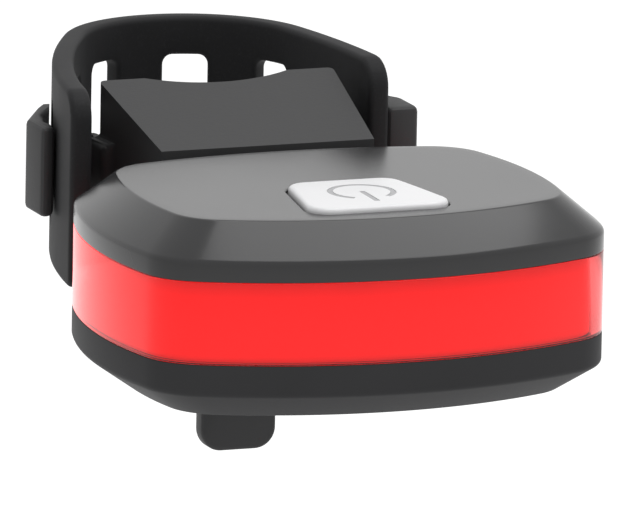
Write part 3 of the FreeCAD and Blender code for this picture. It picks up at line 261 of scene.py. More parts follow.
class Finish:
    """A procedural material on Object coordinates, with one Principled shader.

    Noise scales are in cycles per metre.
    """

    def __init__(self, name):
        self.tree = bare_tree(bpy.data.materials.new(name))
        self.shader = add_node(self.tree, "ShaderNodeBsdfPrincipled")
        add_node(self.tree, "ShaderNodeOutputMaterial", None, {
            "Surface": Wire(self.tree, self.shader.outputs["BSDF"])})
        self.place = self.add("ShaderNodeTexCoord", output="Object")

    def add(self, kind, settings=None, values=None, output=0):
        return wire_from(self.tree, kind, settings, values, output)

    def noise(self, scale, detail=2.0, roughness=0.5):
        return self.add("ShaderNodeTexNoise", None, {
            "Vector": self.place, "Scale": scale, "Detail": detail, "Roughness": roughness}, "Fac")

    def coordinate(self, axis):
        """One of the Object coordinates: X, Y or Z."""
        return self.add("ShaderNodeSeparateXYZ", None, {"Vector": self.place}, axis)

    def ramp(self, wire, stops):
        return self.add("ShaderNodeValToRGB", {"stops": stops}, {"Fac": wire}, "Color")

    def blend(self, amount, one, two, mode="MIX"):
        """A colour between two colours, or their product with the mode MULTIPLY."""
        share, first, second, result = 0, 6, 7, 2
        return self.add("ShaderNodeMix", {"data_type": "RGBA", "blend_type": mode}, {
            share: amount, first: rgba(one), second: rgba(two)}, result)

    def bump(self, height, depth):
        """Surface relief from a height between 0 and 1, with its depth in metres."""
        values = {"Strength": 1.0, "Distance": depth, "Height": height}
        connect(self.tree, self.add("ShaderNodeBump", None, values, "Normal"), self.shader.inputs["Normal"])

    def set(self, **values):
        names = {"colour": "Base Color", "roughness": "Roughness", "metallic": "Metallic", "ior": "IOR",
                 "gloss": "Specular IOR Level", "transmission": "Transmission Weight",
                 "glow": "Emission Color", "glow_strength": "Emission Strength"}
        for name, value in values.items():
            if name in ("colour", "glow"):
                value = rgba(value)
            connect(self.tree, value, self.shader.inputs[names[name]])


def rgba(value):
    return value if isinstance(value, Wire) else (value[0], value[1], value[2], 1.0)


def tinted(value, factor):
    return tuple(min(part * factor, 1.0) for part in value[:3])


# Finishes

def moulded(name, base, roughness=0.42, grain=2600.0, grain_depth=0.012 * MM, gloss=0.5):
    """Moulded plastic: fine spark-eroded grain, faint clouds in colour and sheen."""
    finish = Finish(name)
    clouds = finish.noise(55.0, detail=3.0)
    fine = finish.noise(grain, roughness=0.6)
    cloud_share, fine_share = 0.07, 0.05
    least = roughness - (cloud_share + fine_share) / 2
    finish.set(colour=finish.blend(clouds, tinted(base, 0.86), tinted(base, 1.14)),
               roughness=clouds * cloud_share + fine * fine_share + least, gloss=gloss)
    finish.bump(fine, grain_depth)


def rubber(name, base):
    """Soft rubber: matt, with a slow unevenness and a little dust in the grain."""
    finish = Finish(name)
    slow = finish.noise(120.0, detail=3.0)
    fine = finish.noise(3400.0, roughness=0.7)
    dust = finish.ramp(fine, [(0.52, 0.0), (0.85, 0.35)])
    slow_share, fine_share, least, fine_height, grain_depth = 0.1, 0.08, 0.52, 0.65, 0.01 * MM
    finish.set(colour=finish.blend(dust, base, tinted(base, 2.4)),
               roughness=slow * slow_share + fine * fine_share + least, gloss=0.15)
    finish.bump(slow * (1.0 - fine_height) + fine * fine_height, grain_depth)


def clear_plastic(name, tint, front, back):
    """Polished clear plastic with faint flow marks, and a painted red glow towards its rear ends that stands in
    for light from the red band.
    """
    finish = Finish(name)
    level = (finish.coordinate("Y") - front) / (back - front)
    # Painted light: the clear band glows red towards its rear ends, standing in for the red band's light inside
    # it.
    painted_end_glow = finish.ramp(level, [(0.16, 0.0), (0.5, 0.06), (0.64, 0.11), (0.74, 0.24), (1.0, 0.27)])
    flow = finish.noise(160.0)
    finish.set(colour=finish.blend(flow, tinted(tint, 0.94), tint), roughness=flow.between(0.015, 0.045),
               ior=1.4, transmission=1.0, gloss=0.04,
               glow=finish.blend(painted_end_glow, (0.0, 0.0, 0.0), (1.0, 0.04, 0.04)), glow_strength=1.3)


def glowing_band(name, glow, top, bottom):
    """Red light guide: even glow in the middle, falling off towards its upper and lower edges; the fall-off at
    the upper edge is painted shade under the top cover's overhang.
    """
    finish = Finish(name)
    level = (finish.coordinate("Z") - bottom) / (top - bottom)
    # Painted shade: the dimmer upper edge stands for the shade of the top cover's overhang.
    falloff = finish.ramp(level, [(0.0, 0.6), (0.1, 0.95), (0.2, 1.0), (0.72, 1.0), (0.98, 0.62)])
    mottle = finish.noise(260.0, detail=3.0)
    light = finish.blend(mottle, tinted(glow, 0.97), glow)
    finish.set(colour=finish.blend(mottle, (0.24, 0.003, 0.003), (0.28, 0.004, 0.004)),
               roughness=mottle.between(0.3, 0.4), gloss=0.04,
               glow=finish.blend(1.0, light, falloff, "MULTIPLY"), glow_strength=1.0)


def brushed_metal(name, base, roughness=0.3):
    """Metal with fine lines from front to back, which show in its colour, sheen and relief."""
    finish = Finish(name)
    across, along, up = 9000.0, 300.0, 900.0
    stretched = finish.add("ShaderNodeMapping", None, {"Vector": finish.place, "Scale": (across, along, up)})
    lines = finish.add("ShaderNodeTexNoise", None, {"Vector": stretched, "Scale": 1.0}, "Fac")
    finish.set(colour=finish.blend(lines, tinted(base, 0.85), base), metallic=1.0,
               roughness=lines.between(roughness - 0.05, roughness + 0.1))
    finish.bump(lines, depth=0.004 * MM)


def board_finish(name):
    """Green lacquered board with thin copper tracks under the lacquer."""
    finish = Finish(name)
    column, row = 1.1 * MM, 1.6 * MM
    across = finish.coordinate("X").back_and_forth(column)
    along = finish.coordinate("Y").back_and_forth(row)
    patches = finish.ramp(finish.noise(240.0, detail=0.0), [(0.48, 0.0), (0.52, 1.0)])
    from_line = across.smallest(along) / MM
    tracks = finish.ramp(from_line, [(0.16, 1.0), (0.24, 0.0)]) * patches
    finish.set(colour=finish.blend(tracks, (0.01, 0.12, 0.05), (0.05, 0.25, 0.10)),
               roughness=tracks.between(0.35, 0.25))
    finish.bump(tracks, depth=0.02 * MM)


# Meshes

class Former:
    """Collects rings of points in one mesh and joins them with faces."""

    def __init__(self, origin=(0.0, 0.0, 0.0)):
        self.mesh = bmesh.new()
        self.origin = Vector(origin)

    def place(self, point, depth):
        """A point of the light's own plan as a place in the frame, at a depth below the origin."""
        return Vector((point[0] + self.origin.x, point[1] + self.origin.y, self.origin.z - depth))

    def ring(self, points):
        return [self.mesh.verts.new(point) for point in points]

    def level(self, points, depth):
        """A ring of plan points, all at one depth."""
        return self.ring([self.place(point, depth) for point in points])

    def loft(self, rings):
        """Bands of faces from each ring to the next, which has as many points."""
        for one, two in zip(rings, rings[1:]):
            for here in range(len(one)):
                following = (here + 1) % len(one)
                self.mesh.faces.new((one[here], one[following], two[following], two[here]))

    def fill(self, *rings):
        """Flat faces inside the first ring and outside the others."""
        edges = []
        for ring in rings:
            for here, vert in enumerate(ring):
                pair = (vert, ring[(here + 1) % len(ring)])
                edges.append(self.mesh.edges.get(pair) or self.mesh.edges.new(pair))
        bmesh.ops.triangle_fill(self.mesh, edges=edges, use_beauty=True)

    def cut_grid(self, axis, start, finish, step):
        """Cut the mesh by evenly spaced planes, so that it can bend."""
        normal = Vector((0, 0, 0))
        normal[axis] = 1.0
        count = int((finish - start) / step)
        for index in range(1, count):
            point = normal * (start + index * (finish - start) / count)
            parts = list(self.mesh.verts) + list(self.mesh.edges) + list(self.mesh.faces)
            bmesh.ops.bisect_plane(self.mesh, geom=parts, plane_co=point, plane_no=normal, dist=1e-7)

    def finish(self, name, material):
        bmesh.ops.recalc_face_normals(self.mesh, faces=self.mesh.faces)
        return finished_object(self.mesh, name, finish_of(material))


def finished_object(mesh, name, material, crease=32.0):
    """A smooth-shaded object from a bmesh, sharp only where faces meet at more than the crease angle."""
    data = bpy.data.meshes.new(name)
    mesh.to_mesh(data)
    mesh.free()
    data.shade_smooth()
    data.set_sharp_from_angle(angle=math.radians(crease))
    data.materials.append(material)
    piece = bpy.data.objects.new(name, data)
    bpy.context.scene.collection.objects.link(piece)
    return piece


def dress(piece, body, slot, *nodes):
    """The piece rides on a body and stands for its nodes, which are hidden; its slot is not used."""
    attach(piece, body)
    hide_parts(*nodes)


def rounded(corners, steps=5):
    """A line through corners (a, b, radius), each turned into a small arc of its radius."""
    points = []
    for index, (a, b, radius) in enumerate(corners):
        if radius <= 0 or index in (0, len(corners) - 1):
            points.append((a, b))
            continue
        here = Vector((a, b))
        before = (Vector(corners[index - 1][:2]) - here).normalized()
        after = (Vector(corners[index + 1][:2]) - here).normalized()
        half = before.angle(after) / 2
        reach = radius / math.tan(half)
        centre = here + (before + after).normalized() * (radius / math.sin(half))
        start = here + before * reach - centre
        turn = start.angle_signed(here + after * reach - centre)
        for step in range(steps + 1):
            spin = Matrix.Rotation(-turn * step / steps, 2)
            points.append(tuple(centre + spin @ start))
    return points


def rounded_polygon(corners, radius=0.0, steps=6):
    """Closed outline through corners, each with an arc; corners may carry their own radius."""
    points = []
    count = len(corners)
    for index, corner in enumerate(corners):
        size = corner[2] if len(corner) > 2 else radius
        before, after = corners[index - 1][:2], corners[(index + 1) % count][:2]
        points += rounded([before + (0,), corner[:2] + (size,), after + (0,)], steps)[1:-1]
    return points


def rectangle(left, right, near, far):
    return [(left, near), (right, near), (right, far), (left, far)]


def soft_rectangle(sides, corner, grow=0.0):
    """Outline of a rectangle with round corners, grown by an amount on each side."""
    left, right, near, far = sides
    return rounded_polygon(rectangle(left - grow, right + grow, near - grow, far + grow), corner)


def outline(sizes, inset=0.0, gap=None):
    """Points round the light's outline, drawn in by an inset and going counter-clockwise.

    Its corners stay soft as it is drawn in, so the slanted edges flow round them.
    With a gap, the line starts and ends at the back, that far to each side of the middle.
    """
    corner_loss, least_corner = 0.35, 0.3 * MM
    side = sizes.side_radius - inset
    front = sizes.front_radius - inset
    back = sizes.back_radius - inset
    corner = max(sizes.corner_radius - inset * corner_loss, least_corner)
    side_middle = Vector((sizes.half_width - sizes.side_radius, -sizes.side_middle))
    front_middle = Vector((0, sizes.front_radius - sizes.front_depth))
    back_middle = Vector((0, sizes.back_depth - sizes.back_radius))

    def corner_centre(long_middle, long_radius, sign):
        """Centre of the corner's arc, which touches the side's arc and the long one from within."""
        near, far = side - corner, long_radius - corner
        line = Vector((-side_middle.x, long_middle.y - side_middle.y))
        reach = (near ** 2 - far ** 2 + line.length_squared) / (2 * line.length)
        rise = math.sqrt(near ** 2 - reach ** 2)
        base = side_middle + line.normalized() * reach
        across = Vector((-line.y, line.x)).normalized() * rise
        return max((base + across, base - across), key=lambda point: sign * point.y)

    def facing(centre, target):
        return math.atan2(target.y - centre.y, target.x - centre.x)

    def flip(point):
        return Vector((-point.x, point.y))

    rear = corner_centre(back_middle, back, 1)
    fore = corner_centre(front_middle, front, -1)
    lean_back = facing(side_middle, rear)
    lean_fore = facing(side_middle, fore)
    rise_back = facing(back_middle, rear)
    fall_fore = facing(front_middle, fore)
    start = math.pi / 2 if gap is None else math.acos(gap / back)
    half_turn = math.pi
    front_steps, side_steps, back_steps, corner_steps = 52, 26, 20, 12
    arcs = [
        (back_middle, back, half_turn - start, half_turn - rise_back, back_steps),
        (flip(rear), corner, half_turn - rise_back, half_turn - lean_back, corner_steps),
        (flip(side_middle), side, half_turn - lean_back, half_turn - lean_fore, side_steps),
        (flip(fore), corner, half_turn - lean_fore, half_turn - fall_fore, corner_steps),
        (front_middle, front, -half_turn - fall_fore, fall_fore, front_steps),
        (fore, corner, fall_fore, lean_fore, corner_steps),
        (side_middle, side, lean_fore, lean_back, side_steps),
        (rear, corner, lean_back, rise_back, corner_steps),
        (back_middle, back, rise_back, start, back_steps),
    ]
    points = []
    for centre, radius, begin, end, steps in arcs:
        for step in range(steps):
            angle = begin + (end - begin) * step / steps
            points.append(centre + radius * Vector((math.cos(angle), math.sin(angle))))
    if gap is not None:
        points.append(back_middle + back * Vector((math.cos(start), math.sin(start))))
    return points


def light_origin(sizes):
    """Where the light's own measures start: in the top face, a back depth in front of the rear."""
    return Vector(((COVER_LOW.x + COVER_HIGH.x) / 2, COVER_HIGH.y - sizes.back_depth, COVER_HIGH.z))


def layers(sizes):
    """Depths of the light's layers below its top face."""
    top = sizes.top_bevel + sizes.top_band
    lens = top + sizes.lens_height
    band = lens + sizes.bottom_band
    return {"lens_top": top, "lens_bottom": lens, "band_bottom": band, "bottom": band + sizes.bottom_bevel}


def keystone(button, grow=0.0):
    """The button's plan: a trapezium with round corners, grown by an amount."""
    back = -button.back + grow
    front = -button.front - grow
    half_back = button.half_back + grow
    half_front = button.half_front + grow
    least_corner = 0.2 * MM
    corners = [(half_front, front), (half_back, back), (-half_back, back), (-half_front, front)]
    return rounded_polygon(corners, max(button.corner + grow, least_corner))


def circle(x, y, radius, steps=40):
    turns = [2 * math.pi * step / steps for step in range(steps)]
    return [(x + radius * math.cos(turn), y + radius * math.sin(turn)) for turn in turns]


# Pieces

def cover_skin(former, sizes, lens_edge, bend, flat):
    """Outer skin of a cover, from the lens over its band and slanted edge onto its flat face.

    The lens edge, the bend between band and slanted edge, and the flat face are depths.
    """
    lip, bend_round, margin = 0.12 * MM, sizes.edge_round * 1.6, 1.2 * MM
    profile = rounded([
        (sizes.wall, lens_edge, 0), (0.0, lens_edge, lip), (0.0, bend, bend_round),
        (sizes.bevel_run, flat, sizes.edge_round), (sizes.bevel_run + margin, flat, 0)])
    rings = [former.level(outline(sizes, inset), depth) for inset, depth in profile]
    former.loft(rings)
    return rings


def cover_lining(former, sizes, lens_ring, bend, flat, openings):
    """Inner skin of a cover, from its flat face with its openings back to the lens."""
    run = sizes.bevel_run - 0.5 * MM
    inner = former.level(outline(sizes, sizes.wall + run), flat)
    shoulder = former.level(outline(sizes, sizes.wall), bend)
    former.fill(inner, *openings)
    former.loft([inner, shoulder, lens_ring])


def make_top_cover(context):
    sizes = context.scene.light_housing
    button = context.scene.light_button
    depth = layers(sizes)
    former = Former(light_origin(sizes))
    rings = cover_skin(former, sizes, depth["lens_top"], sizes.top_bevel, 0.0)
    lip, inner_bend = 0.15 * MM, sizes.top_bevel + 0.6 * MM
    profile = rounded([
        (button.gap + lip * 2, 0.0, 0), (button.gap, 0.0, lip), (button.gap, sizes.wall, 0)], steps=3)
    hole = [former.level(keystone(button, grow), deep) for grow, deep in profile]
    former.fill(rings[-1], hole[0])
    former.loft(hole)
    cover_lining(former, sizes, rings[0], inner_bend, sizes.wall, [hole[-1]])
    piece = former.finish("top_shell", "cover_grain")
    dress(piece, "light_body", "cover_plastic", "top_cover")


def grown_box(box, origin, gap):
    """Left, right, front and back of a box in the light's own plan, grown by a gap."""
    low, high = box
    return low.x - origin.x - gap, high.x - origin.x + gap, low.y - origin.y - gap, high.y - origin.y + gap


def make_bottom_cover(context):
    sizes = context.scene.light_housing
    depth = layers(sizes)
    bottom, bend = depth["bottom"], depth["band_bottom"]
    floor, inner_bend = bottom - sizes.wall, bend - 0.6 * MM
    origin = light_origin(sizes)
    former = Former(origin)
    rings = cover_skin(former, sizes, depth["lens_bottom"], bend, bottom)
    flap_gap, recess_round, shelf, ease = 0.2 * MM, 0.5 * MM, bottom - 1.2 * MM, 0.3 * MM
    socket_gap, mouth_round = 0.1 * MM, 1.5 * MM
    left, right, near, far = grown_box(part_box("port_cover"), origin, flap_gap)
    recess = soft_rectangle((left, right, near, far), recess_round)
    eased = soft_rectangle((left, right, near - ease, far), recess_round)
    recess_rings = [former.level(eased, bottom), former.level(recess, bottom - ease),
                    former.level(recess, shelf)]
    mouth = soft_rectangle(grown_box(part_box("charging_socket"), origin, socket_gap), mouth_round)
    mouth_rings = [former.level(mouth, deep) for deep in (shelf, floor)]
    former.loft(recess_rings)
    former.fill(recess_rings[-1], mouth_rings[0])
    former.loft(mouth_rings)
    openings = [recess_rings[0]]
    inner_openings = [mouth_rings[-1]]
    well, rim = 1.6 * MM, 0.15 * MM
    for x, y in screw_places(origin):
        profile = ((well + rim, bottom), (well, bottom - rim), (well, floor))
        wells = [former.level(circle(x, y, radius), deep) for radius, deep in profile]
        former.loft(wells)
        openings.append(wells[0])
        inner_openings.append(wells[-1])
    former.fill(rings[-1], *openings)
    cover_lining(former, sizes, rings[0], inner_bend, floor, inner_openings)
    piece = former.finish("bottom_shell", "lower_grain_painted_lighter")
    dress(piece, "light_body", "cover_plastic", "bottom_cover")
    make_rear_wall(context)


def screw_places(origin):
    """Middles of the four screws in the light's own plan, from the frame's screws."""
    left, right, near, far = grown_box(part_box("housing_screws"), origin, -SCREW_HEAD)
    return [(x, y) for x in (left, right) for y in (near, far)]


def open_band(sizes, insets, depths, rounds, rear_end=math.inf):
    """A closed section carried along the outline, from one rear end round the front to the other.

    The section's outer and inner sides have an inset and a rounding each, and its upper and lower sides
    a depth each. Places behind the rear end are left out.
    """
    (outer, inner), (high, low), (outer_round, inner_round) = insets, depths, rounds
    section = rounded_polygon([(outer, high, outer_round), (outer, low, outer_round),
                               (inner, low, inner_round), (inner, high, inner_round)])
    former = Former(light_origin(sizes))
    lines = [outline(sizes, inset, sizes.rear_gap) for inset, depth in section]
    kept = [index for index, point in enumerate(lines[0]) if point.y < rear_end]
    rings = []
    for index in range(kept[0], kept[-1] + 1):
        places = [former.place(line[index], depth) for line, (inset, depth) in zip(lines, section)]
        rings.append(former.ring(places))
    former.loft(rings)
    former.fill(rings[0])
    former.fill(rings[-1])
    return former


def make_lens(context):
    sizes = context.scene.light_housing
    depth = layers(sizes)
    depths = (depth["lens_top"], depth["lens_bottom"])
    former = open_band(sizes, (0.0, sizes.lens_wall), depths, rounds=(0.12 * MM, 0.2 * MM))
    piece = former.finish("clear_band", "clear_plastic")
    dress(piece, "light_body", "lens_plastic", "lens")


def make_diffuser(context):
    sizes = context.scene.light_housing
    low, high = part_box("diffuser")
    top = light_origin(sizes).z
    insets = (sizes.diffuser_inset, sizes.diffuser_inset + sizes.diffuser_wall)
    depths = (top - high.z, top - low.z)
    former = open_band(sizes, insets, depths, (0.4 * MM, 0.2 * MM), rear_end=-sizes.diffuser_back)
    piece = former.finish("red_band", "glowing_red")
    dress(piece, "light_body", "red_plastic", "diffuser")


def flat_panel(former, outer, holes, thickness, rim, step):
    """An upright flat plate along X with holes; its long edges and the holes' edges are rounded.

    Outer and holes are functions that give an outline in X and Z, moved into the plate by an amount.
    """
    rim_steps = 4
    turns = [math.pi / 2 * index / rim_steps for index in range(rim_steps + 1)]
    edge = [(rim * (1 - math.cos(turn)), thickness / 2 - rim + rim * math.sin(turn)) for turn in turns]
    profile = [(inset, -depth) for inset, depth in reversed(edge)] + edge
    lofts = []
    for shape in [outer] + holes:
        parts = divisions(shape(0.0), step)
        lofts.append([former.ring([Vector((x, depth, z)) for x, z in divided(shape(inset), parts)])
                      for inset, depth in profile])
        former.loft(lofts[-1])
    former.fill(*[rings[0] for rings in lofts])
    former.fill(*[rings[-1] for rings in lofts])


def new_tree(name, numbers):
    """A geometry node tree, and wires from its inputs: geometry, named numbers, centre and finish."""
    tree = bpy.data.node_groups.new(name, "GeometryNodeTree")
    kinds = {"Geometry": "NodeSocketGeometry"}
    kinds.update((label, "NodeSocketInt" if label == "Count" else "NodeSocketFloat") for label in numbers)
    kinds.update({"Centre": "NodeSocketVector", "Finish": "NodeSocketMaterial"})
    for label, kind in kinds.items():
        tree.interface.new_socket(name=label, in_out="INPUT", socket_type=kind)
    tree.interface.new_socket(name="Geometry", in_out="OUTPUT", socket_type="NodeSocketGeometry")
    given = add_node(tree, "NodeGroupInput")
    return tree, {label: Wire(tree, given.outputs[label]) for label in kinds}


def moved_points(tree, given, geometry, position):
    """Each point of a geometry at a position about the centre."""
    place = wire_from(tree, "ShaderNodeCombineXYZ", None, dict(zip("XYZ", position)))
    place = wire_from(tree, "ShaderNodeVectorMath", {"operation": "ADD"}, {0: place, 1: given["Centre"]})
    return wire_from(tree, "GeometryNodeSetPosition", None, {"Geometry": geometry, "Position": place})


def end_tree(tree, given, geometry):
    """Make copies real, give them their finish and send them out."""
    whole = wire_from(tree, "GeometryNodeRealizeInstances", None, {"Geometry": geometry})
    painted = wire_from(tree, "GeometryNodeSetMaterial", None, {
        "Geometry": whole, "Material": given["Finish"]})
    add_node(tree, "NodeGroupOutput", None, {"Geometry": painted})
    return tree


def bend_tree():
    """Geometry nodes that bend a flat plate about an upright axis.

    Between two limits the plate follows one radius. Past them its ends run out on radii of their own.
    """
    numbers = ("Bend radius", "Left limit", "Right limit", "Left radius", "Right radius")
    tree, given = new_tree("bend_round_post", numbers)
    radius, left, right, left_radius, right_radius = [given[label] for label in numbers]
    place = wire_from(tree, "GeometryNodeInputPosition")
    parts = add_node(tree, "ShaderNodeSeparateXYZ", None, {"Vector": place})
    along, outward, height = [Wire(tree, socket) for socket in parts.outputs]
    held = along.largest(left).smallest(right)
    side_radius = along.above(0.0).between(left_radius, right_radius)
    first = held / radius
    turn = first + (along - held) / side_radius
    inward = radius - side_radius
    reach = side_radius + outward
    position = (inward * first.sine() + reach * turn.sine(),
                inward * first.cosine() + reach * turn.cosine(), height)
    return end_tree(tree, given, moved_points(tree, given, given["Geometry"], position))


def grown_by_nodes(piece, tree, values):
    """Run a geometry node tree on a piece and keep its result as the piece's plain mesh."""
    crease = math.radians(40)
    modifier = piece.modifiers.new(tree.name, "NODES")
    modifier.node_group = tree
    sockets = {item.name: item.identifier for item in tree.interface.items_tree if item.in_out == "INPUT"}
    for name, value in values.items():
        modifier[sockets[name]] = value
    modifier[sockets["Finish"]] = piece.data.materials[0]
    piece.update_tag()
    bpy.context.view_layer.update()
    evaluated = piece.evaluated_get(bpy.context.evaluated_depsgraph_get())
    data = bpy.data.meshes.new_from_object(evaluated)
    piece.modifiers.remove(modifier)
    old = piece.data
    piece.data = data
    bpy.data.meshes.remove(old)
    bpy.data.node_groups.remove(tree)
    data.shade_smooth()
    data.set_sharp_from_angle(angle=crease)


def divisions(points, step):
    """Into how many parts each side of a closed outline is cut, so that none is longer than a step."""
    ends = points[1:] + points[:1]
    return [max(1, math.ceil(math.dist(start, finish) / step)) for start, finish in zip(points, ends)]


def divided(points, parts):
    """A closed outline with each side cut into its number of parts."""
    result = []
    for start, finish, count in zip(points, points[1:] + points[:1], parts):
        for part in range(count):
            result.append(tuple(a + (b - a) * part / count for a, b in zip(start, finish)))
    return result


def make_strap(context):
    strap = context.scene.light_strap
    middle = strap.inner + strap.thickness / 2
    left_limit = -(math.pi / 2 - strap.left_flare) * middle
    right_limit = (math.pi / 2 - strap.right_flare) * middle
    left, right = left_limit - strap.left_arm, right_limit + strap.right_arm
    tall = strap.height / 2

    def border(inset):
        top, bottom = strap.end_top - inset, strap.end_bottom - inset
        corners = [(right - inset, -tall + inset, bottom), (right - inset, tall - inset, top),
                   (left + inset, tall - inset, top), (left + inset, -tall + inset, bottom)]
        return rounded_polygon(corners, steps=8)

    def hole(place):
        wide, high = strap.hole_width / 2, strap.hole_height / 2
        sides = (place - wide, place + wide, -high, high)
        return lambda inset: soft_rectangle(sides, strap.hole_corner + inset, inset)

    first = -(strap.holes // 2)
    holes = [hole(strap.hole_shift + (first + index) * strap.hole_pitch) for index in range(strap.holes)]
    step = 0.5 * MM
    former = Former()
    flat_panel(former, border, holes, strap.thickness, strap.rim, step)
    former.cut_grid(0, left, right, step)
    piece = former.finish("post_strap", "strap_grain")
    grown_by_nodes(piece, bend_tree(), {
        "Bend radius": middle, "Left limit": left_limit, "Right limit": right_limit,
        "Left radius": strap.left_bend, "Right radius": strap.right_bend})
    dress(piece, "bracket_body", "strap_rubber", "strap")


def make_rear_wall(context):
    """The bottom cover's rear wall between the lens ends, with the opening for the clip's neck."""
    sizes = context.scene.light_housing
    depth = layers(sizes)
    origin = light_origin(sizes)
    side_gap, top_gap, bottom_lap = 0.1 * MM, 0.1 * MM, 0.3 * MM
    radius = sizes.back_radius - sizes.wall / 2
    half = radius * math.asin((sizes.rear_gap - side_gap) / radius)
    top, bottom = origin.z - depth["lens_top"] - top_gap, origin.z - depth["lens_bottom"] - bottom_lap
    neck_half, neck_top, neck_bottom = 4.1 * MM, origin.z - 6.1 * MM, origin.z - 12.6 * MM
    corner, neck_corner, rim, step = 0.2 * MM, 0.3 * MM, 0.12 * MM, 1.5 * MM

    def border(inset):
        return soft_rectangle((-half, half, bottom, top), corner, -inset)

    def neck(inset):
        return soft_rectangle((-neck_half, neck_half, neck_bottom, neck_top), neck_corner, inset)

    former = Former()
    flat_panel(former, border, [neck], sizes.wall, rim, step)
    former.cut_grid(0, -half, half, step)
    piece = former.finish("rear_wall", "lower_grain_painted_lighter")
    centre = (origin.x, origin.y + sizes.back_depth - sizes.back_radius, 0.0)
    grown_by_nodes(piece, bend_tree(), {
        "Bend radius": radius, "Left limit": -half, "Right limit": half, "Left radius": radius,
        "Right radius": radius, "Centre": centre})
    dress(piece, "light_body", "cover_plastic", "bottom_cover")


def symbol_loops(button, shrink=0.0):
    """Outlines of the standby sign: an open ring and a bar, drawn in by an amount."""
    middle = -(button.back + button.front) / 2
    half = button.symbol_line / 2 - shrink
    gap = button.symbol_gap + shrink / button.symbol_radius
    start, finish = -math.pi / 2 + gap, 1.5 * math.pi - gap
    steps, corner = 56, half * 0.6
    turns = [start + (finish - start) * step / steps for step in range(steps + 1)]
    loop = []
    for radius, order in ((button.symbol_radius + half, turns), (button.symbol_radius - half, turns[::-1])):
        loop += [(math.cos(turn) * radius, middle + math.sin(turn) * radius) for turn in order]
    bar = rectangle(-half, half, middle - button.symbol_bar + shrink, middle - shrink)
    return [loop, rounded_polygon(bar, corner, steps=3)]


def crown(context, former):
    """Cut a piece of the button finely and raise the middle of its upper side a little."""
    button = context.scene.light_button
    middle_y = former.origin.y - (button.back + button.front) / 2
    reach_x, reach_y = button.half_front, (button.front - button.back) / 2
    step, upper_side = 0.8 * MM, former.origin.z - 0.3 * MM
    former.cut_grid(0, former.origin.x - reach_x, former.origin.x + reach_x, step)
    former.cut_grid(1, former.origin.y - button.front, former.origin.y - button.back, step)
    for vert in former.mesh.verts:
        if vert.co.z >= upper_side:
            x = min(abs(vert.co.x - former.origin.x) / reach_x, 1.0)
            y = min(abs(vert.co.y - middle_y) / reach_y, 1.0)
            vert.co.z += button.crown * (1 - x * x) * (1 - y * y)


def make_button(context):
    button = context.scene.light_button
    origin = light_origin(context.scene.light_housing)
    top, skirt, shoulder = -button.proud, 2.0 * MM, button.edge * 2.2
    groove_gap, paint_top, paint_gap = 0.03 * MM, top + 0.05 * MM, 0.01 * MM
    former = Former(origin)
    profile = rounded([(0.0, skirt, 0), (0.0, top, button.edge), (-shoulder, top, 0)], steps=7)
    rings = [former.level(keystone(button, grow), depth) for grow, depth in profile]
    former.loft(rings)
    grooves = []
    for loop in symbol_loops(button, -groove_gap):
        walls = [former.level(loop, depth) for depth in (top, top + button.symbol_depth)]
        former.loft(walls)
        former.fill(walls[1])
        grooves.append(walls[0])
    former.fill(rings[-1], *grooves)
    former.fill(rings[0])
    crown(context, former)
    piece = former.finish("button_cap", "button_white")
    dress(piece, "button_body", "white_plastic", "power_button")
    former = Former(origin)
    for loop in symbol_loops(button):
        walls = [former.level(loop, depth) for depth in (paint_top, top + button.symbol_depth - paint_gap)]
        former.loft(walls)
        former.fill(walls[0])
        former.fill(walls[1])
    crown(context, former)
    piece = former.finish("standby_sign", "sign_paint")
    dress(piece, "button_body", "symbol_paint", "power_symbol")


def softened_copy(node, name, material, width, shortest=0.0, inner=False):
    """A CAD node's shape with its loose triangles merged and its sharp edges rounded.

    Inner corners stay sharp unless inner is set, and so does an edge that meets one of no more than the
    shortest length. Where no such length is given, the width shrinks to what the shape has room for.
    """
    weld, flat, sharp, crumb = 0.001 * MM, math.radians(1.0), math.radians(30.0), 0.005 * MM
    shrinks = shortest == 0.0
    crease = 32.0 if shrinks else 20.0
    mesh = bmesh.new()
    mesh.from_mesh(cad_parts[node].data)
    bmesh.ops.remove_doubles(mesh, verts=mesh.verts, dist=weld)
    bmesh.ops.dissolve_limit(mesh, angle_limit=flat, verts=mesh.verts, edges=mesh.edges)
    edges = []
    for edge in mesh.edges:
        if edge.is_manifold and edge.calc_face_angle(0) > sharp and (inner or edge.is_convex):
            around = [near.calc_length() for end in edge.verts for near in end.link_edges]
            if min(around) > shortest:
                edges.append(edge)
    bmesh.ops.bevel(mesh, geom=edges, offset=width, offset_type="OFFSET", segments=3, profile=0.5,
                    affect="EDGES", clamp_overlap=shrinks)
    bmesh.ops.dissolve_degenerate(mesh, dist=crumb, edges=mesh.edges)
    return finished_object(mesh, name, finish_of(material), crease)


def make_bracket(context):
    piece = softened_copy("bracket", "bracket_block", "bracket_grain", 0.6 * MM, shortest=1.3 * MM, inner=True)
    dress(piece, "bracket_body", "bracket_plastic", "bracket")
    piece = softened_copy("cradle_pad", "cradle_skin", "strap_grain", 0.2 * MM)
    dress(piece, "bracket_body", "strap_rubber", "cradle_pad")


def make_clip(context):
    piece = softened_copy("rear_clip", "clip_block", "bracket_grain", 0.35 * MM)
    dress(piece, "light_body", "bracket_plastic", "rear_clip")


def make_flap(context):
    piece = softened_copy("port_cover", "charging_flap", "strap_grain", 0.15 * MM)
    dress(piece, "flap_body", "strap_rubber", "port_cover")


